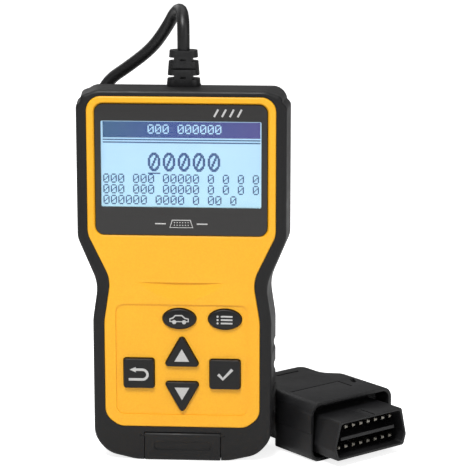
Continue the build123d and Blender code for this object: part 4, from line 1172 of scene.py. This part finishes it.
@dataclass
class KeyCap:
    """One key: a rigid cap with rounded, slightly crowned front, on the body that its node moves with."""

    node: str
    flange: float = 1.0       # the node's box is wider than the cap by this, each side
    corner: float = 0.0       # radius of the outline's corners
    edge: float = 0.5         # radius of the front edge
    crown_width: float = 0.4
    crown_rise: float = 0.0
    sides: int = 4
    round_steps: int = 6

    def box(self) -> tuple[Vector, Vector]:
        """The cap's box, without its flange.

        Returns:
            Its lowest and its highest corner.
        """
        low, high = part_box(self.node)
        grow = Vector((self.flange * MM, 0, self.flange * MM))
        return low + grow, high - grow

    def prism(self) -> Piece:
        """The cap's plain body, from its front to its flange.

        Returns:
            The cap with sharp edges.
        """
        low, high = self.box()
        front = low.y + self.crown_rise * MM
        middle, size = (low + high) / 2, high - low
        turned = {"location": (middle.x, (front + high.y) / 2, middle.z),
                  "rotation": (math.radians(90), 0, 0)}
        if self.sides == 4:
            piece = begin(bpy.ops.mesh.primitive_cube_add, self.node + "_cap", size=1.0, **turned)
        else:
            piece = begin(bpy.ops.mesh.primitive_cylinder_add, self.node + "_cap", vertices=self.sides,
                          radius=0.5, depth=1.0, **turned)
        piece.scale = (size.x, size.z, high.y - front)
        return sink(piece)

    def round_off(self, piece: Piece) -> Piece:
        """Round the outline's corners and the front edge, then raise the crown ring by ring.

        Args:
            piece: The cap with sharp edges.

        Returns:
            The same cap, rounded.
        """
        if self.corner:
            with picking(piece, Part.EDGES, along(1)):
                bpy.ops.mesh.bevel(offset=self.corner * MM, segments=self.round_steps, affect="EDGES")
        front = min(vertex.co.y for vertex in piece.data.vertices)

        def on_front(face: bmesh.types.BMFace) -> bool:
            """Whether this face is on the cap's front."""
            return face.normal.y < -0.9 and face.calc_center_median().y < front + 1e-5

        with picking(piece, Part.FACES, on_front):
            bpy.ops.mesh.bevel(offset=self.edge * MM, segments=3, affect="EDGES", clamp_overlap=True)
        if self.crown_rise:
            with picking(piece, Part.FACES, on_front):
                for share in (0.5, 0.33, 0.17):
                    bpy.ops.mesh.inset(thickness=self.crown_width * MM / 3,
                                       depth=self.crown_rise * share * MM)
        # Large faces keep their own direction, so that only the rounded edges shade.
        return modified(smooth(piece, 30.0), "WEIGHTED_NORMAL", mode="FACE_AREA", weight=50, keep_sharp=True)

    def build(self) -> Piece:
        """Make the cap and let it ride on its key."""
        return settle(self.round_off(self.prism()), KEY_ABS, self.node, (self.node,))


@dataclass
class ArrowCap(KeyCap):
    """A three-sided key that points up or down, with the CAD key's own triangle."""

    base_z: float = 0.0
    direction: int = 1
    base: float = 14.8
    height: float = 13.3

    def prism(self) -> Piece:
        """The three-sided body.

        Returns:
            The cap with sharp edges.
        """
        low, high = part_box(self.node)
        front = low.y + self.crown_rise * MM
        piece = begin(bpy.ops.mesh.primitive_cylinder_add, self.node + "_cap", vertices=3)
        apex_z = self.base_z + self.direction * self.height
        corners = [(0.0, apex_z), (self.direction * self.base / 2, self.base_z),
                   (-self.direction * self.base / 2, self.base_z)]
        ordered = sorted(piece.data.vertices, key=lambda v: math.atan2(v.co.x, v.co.y) % (2 * math.pi - 1e-4))
        for place, vertex in enumerate(ordered):
            x, z = corners[place // 2]
            vertex.co = (x * MM, high.y if vertex.co.z < 0 else front, z * MM)
        with picking(piece, Part.FACES, everything):
            bpy.ops.mesh.normals_make_consistent(inside=False)
        return piece


@dataclass
class Keypad:
    """Six keys and the marks printed on them."""

    stroke: float = 1.05
    fine: float = 0.55
    up_base: float = 40.1
    down_base: float = 33.6

    def mark(self, node: str, x: float | None = None, z: float | None = None) -> Mark:
        """A blank mark on a key's front, at its middle unless a place is given in millimetres.

        Args:
            node: The key's node.
            x: The mark's middle across, if not the key's.
            z: Its middle up, if not the key's.

        Returns:
            The mark, with nothing in it yet.
        """
        low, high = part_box(node)
        middle = (low + high) / 2
        return Mark(node + "_mark", middle.x if x is None else x * MM,
                    middle.z if z is None else z * MM, low.y)

    def vehicle(self, mark: Mark) -> None:
        """A small car from the side.

        Args:
            mark: The key's blank mark.
        """
        mark.stroke([(-3.7, -0.9), (-3.7, 0.2), (-2.6, 0.5), (-1.5, 1.6), (1.1, 1.6), (2.3, 0.5), (3.7, 0.2),
                     (3.7, -0.9)], self.fine, closed=True)
        for x in (-2.0, 2.0):
            mark.solid(arc(x, -1.1, 0.85, 0, 342, 19))

    def codes(self, mark: Mark) -> None:
        """A list of three lines.

        Args:
            mark: The key's blank mark.
        """
        for z in (1.4, 0.0, -1.4):
            mark.solid(arc(-2.9, z, 0.42, 0, 330, 11))
            mark.stroke([(-1.6, z), (3.1, z)], 0.65)

    def back(self, mark: Mark) -> None:
        """An arrow that turns back."""
        mark.stroke([(-1.4, 1.65)] + arc(1.5, -0.4, 2.05, 90, -90, 12) + [(-4.1, -2.45)], self.stroke)
        mark.solid([(-3.7, 1.65), (-1.2, 0.55), (-1.2, 2.75)])

    def enter(self, mark: Mark) -> None:
        """A tick."""
        mark.stroke([(-2.7, 0.2), (-0.8, -1.8), (3.0, 2.3)], self.stroke + 0.15)

    def arrow(self, node: str, base: float, direction: int) -> None:
        """An arrow key and the pale triangle inside it.

        Args:
            node: The key's node.
            base: Height of its flat side, in millimetres.
            direction: 1 where it points up and -1 where it points down.
        """
        ArrowCap(node, corner=2.05, base_z=base, direction=direction).build()
        mark = self.mark(node, 0.0, base)
        outline = [(-3.0, 2.2 * direction), (3.0, 2.2 * direction), (0.0, 7.4 * direction)]
        mark.solid(outline[::direction])
        mark.build(node)

    def build(self) -> None:
        """Make the keys, their marks and what lies under them."""
        oval = {"edge": 0.55, "crown_width": 2.0, "crown_rise": 0.3, "sides": 72}
        square = {"corner": 1.0}
        for node, draw, shape in (("key_vehicle", self.vehicle, oval), ("key_codes", self.codes, oval),
                                  ("key_back", self.back, square), ("key_enter", self.enter, square)):
            KeyCap(node, **shape).build()
            mark = self.mark(node)
            draw(mark)
            mark.build(node)
        self.arrow("key_up", self.up_base, 1)
        self.arrow("key_down", self.down_base, -1)
        dress_nodes({"keypad_sheet": SILICONE, "dome_switches": STEEL})


# ---- the case


@dataclass
class Case:
    """Shells, window print, label, port flap and strain relief."""

    flap_edge: float = 0.4
    relief_edge: float = 0.35
    print_height: float = 0.04    # of the window's print
    dot_pitch: float = 1.1        # of the contacts in the plug's outline
    bar_left: float = 14.0
    bar_pitch: float = 3.1
    label_margin: float = 2.0
    label_lines: int = 6
    line_pitch: int = 8           # in dots, as the next four
    line_thick: int = 2
    line_end: int = 66
    square_corner: tuple = (76, 8)
    square_size: int = 14

    def window_marks(self) -> None:
        """Printed marks on the black window: a plug's outline below the view, slanted bars above it."""
        low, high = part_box("display_window")
        view_low, view_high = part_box("window_pane")
        below = Mark("window_mark_lower", 0.0, (low.z + view_low.z) / 2 - 1.0 * MM, low.y, self.print_height)
        below.stroke([(-3.6, 1.5), (3.6, 1.5), (4.6, -1.5), (-4.6, -1.5)], 0.42, closed=True)
        for row in (0.5, -0.5):
            for step in range(6):
                below.solid(arc((step - 2.5) * self.dot_pitch, row * self.dot_pitch, 0.24, 0, 315, 7))
        for side in (-1, 1):
            below.stroke([(side * 6.2, 0.0), (side * 10.5, 0.0)], 0.5)
        below.build(CASE)
        above = Mark("window_mark_upper", 0.0, (high.z + view_high.z) / 2, low.y, self.print_height)
        for step in range(4):
            x = self.bar_left + step * self.bar_pitch
            above.stroke([(x - 0.8, -1.5), (x + 0.8, 1.5)], 0.75)
        above.build(CASE)

    def label_print(self) -> None:
        """Blank lines and a square of dots on the rating label."""
        chance = random.Random(11)
        words = [[chance.randint(3, 9) for _ in range(12)] for _ in range(self.label_lines)]
        side = range(self.square_size)
        square = {(x, y) for x in side for y in side if chance.random() < 0.5}

        def lit(column: int, row: int) -> bool:
            """Whether a dot of the label is printed.

            Args:
                column: The dot's column, from the left.
                row: Its row, from the top.

            Returns:
                True where ink is.
            """
            if column >= self.square_corner[0]:
                return (column - self.square_corner[0], row - self.square_corner[1]) in square
            line, offset = divmod(row - 4, self.line_pitch)
            if not 0 <= line < len(words) or offset >= self.line_thick:
                return False
            start = 2
            for length in words[line]:
                if start <= column < start + length:
                    return column < self.line_end
                start += length + 2
            return False

        low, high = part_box("rating_label")
        inset = Vector((self.label_margin * MM, 0, self.label_margin * MM))
        dots = Dots("label_print", 92, 52, Vector((low.x, high.y, low.z)) + inset, high - inset, facing=1.0,
                    gap=0.0, proud=0.02)
        settle(dots.build(lit), LABEL_INK)

    def build(self) -> None:
        """Dress the shells and make the softer pieces."""
        softened("usb_flap", "port_flap", self.flap_edge, GRIP_TPE, "usb_flap")
        softened("strain_relief", "ladder_strain_relief", self.relief_edge, SOFT_PVC)
        self.window_marks()
        self.label_print()
        dress_nodes({"front_shell": YELLOW_ABS, "grip_frame": GRIP_TPE, "back_shell": SHELL_ABS,
                     "display_window": WINDOW_ACRYLIC, "rating_label": LABEL_FILM, "case_screws": STEEL})


@dataclass
class Inside:
    """What the closed case hides: board, parts, service port and the lead's inner end."""

    def build(self) -> None:
        """Dress every hidden node."""
        dress_nodes({
            "main_board": BOARD, "board_screws": STEEL, "processor_chip": CHIP_EPOXY,
            "support_chips": CHIP_EPOXY, "capacitors": TIN_CAN, "crystal": TIN_CAN, "buzzer": CHIP_EPOXY,
            "usb_socket": STEEL, "cable_tail": JACKET, "cable_clamp": CHIP_EPOXY, "clamp_screws": STEEL,
            "header_socket": NYLON_WHITE, "header_plug": NYLON_WHITE, "cable_wires": WIRE_PVC,
        })


# ---- the plug and the tie


@dataclass
class Plug:
    """The vehicle plug: two housing halves, shroud, contact block, contacts, boot and screws."""

    housing_edge: float = 0.35
    shroud_edge: float = 0.2

    def build(self) -> list:
        """Make and dress the plug.

        Returns:
            Every visible piece of it.
        """
        made = [softened("plug_cover", "plug_housing_upper", self.housing_edge, PLUG_NYLON, merge=False),
                softened("plug_base", "plug_housing_lower", self.housing_edge, PLUG_NYLON),
                softened("plug_shroud", "plug_contact_shroud", self.shroud_edge, PLUG_NYLON)]
        return made + dress_nodes({"plug_insulator": PLUG_NYLON, "contact_pins": CONTACT,
                                   "plug_screws": STEEL, "plug_boot": SOFT_PVC, "plug_wires": WIRE_PVC})


@dataclass
class Tie:
    """A hook-and-loop strap round the coil, lapped over itself."""

    thickness: float = 0.9
    corner: float = 1.8
    lap: float = 11.0
    lap_thickness: float = 0.35

    def build(self) -> Piece:
        """Make the strap from a box that is rounded, opened at its ends and given a wall.

        Returns:
            The strap and its lap, as one piece.
        """
        low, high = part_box("cable_tie")
        middle, size = (low + high) / 2, high - low
        lap_high = self.lap_thickness * MM
        piece = begin(bpy.ops.mesh.primitive_cube_add, "coil_strap", size=1.0, location=middle)
        piece.scale = (size.x, size.y, size.z - lap_high)
        sink(piece)
        with picking(piece, Part.EDGES, along(0)):
            bpy.ops.mesh.bevel(offset=self.corner * MM, segments=6, affect="EDGES")
        with picking(piece, Part.FACES, lambda face: abs(face.normal.x) > 0.9):
            bpy.ops.mesh.delete(type="FACE")
        modified(piece, "SOLIDIFY", thickness=self.thickness * MM, offset=-1.0)
        modified(piece, "BEVEL", width=0.2 * MM, segments=2, angle_limit=math.radians(50))
        flap = begin(bpy.ops.mesh.primitive_cube_add, "strap_lap", size=1.0,
                     location=(middle.x, middle.y + 1.0 * MM, high.z - lap_high / 2 - 0.05 * MM))
        flap.scale = (size.x * 0.96, self.lap * MM, lap_high)
        sink(flap)
        modified(flap, "BEVEL", width=0.12 * MM, segments=2)
        return settle(smooth(joined("coil_strap", [piece, flap])), STRAP, nodes=("cable_tie",))


# ---- everything


def main() -> None:
    """Build the room, the lead, the reader and its plug."""
    logging.basicConfig(level=logging.INFO, format="%(name)s: %(message)s")
    Studio().build()
    lead_maker = Lead()
    lead = lead_maker.build()
    carried = Plug().build() + [Tie().build()]
    Readout().build()
    Keypad().build()
    Case().build()
    Inside().build()
    log.info("reader is complete")


if __name__ == "__main__":
    main()
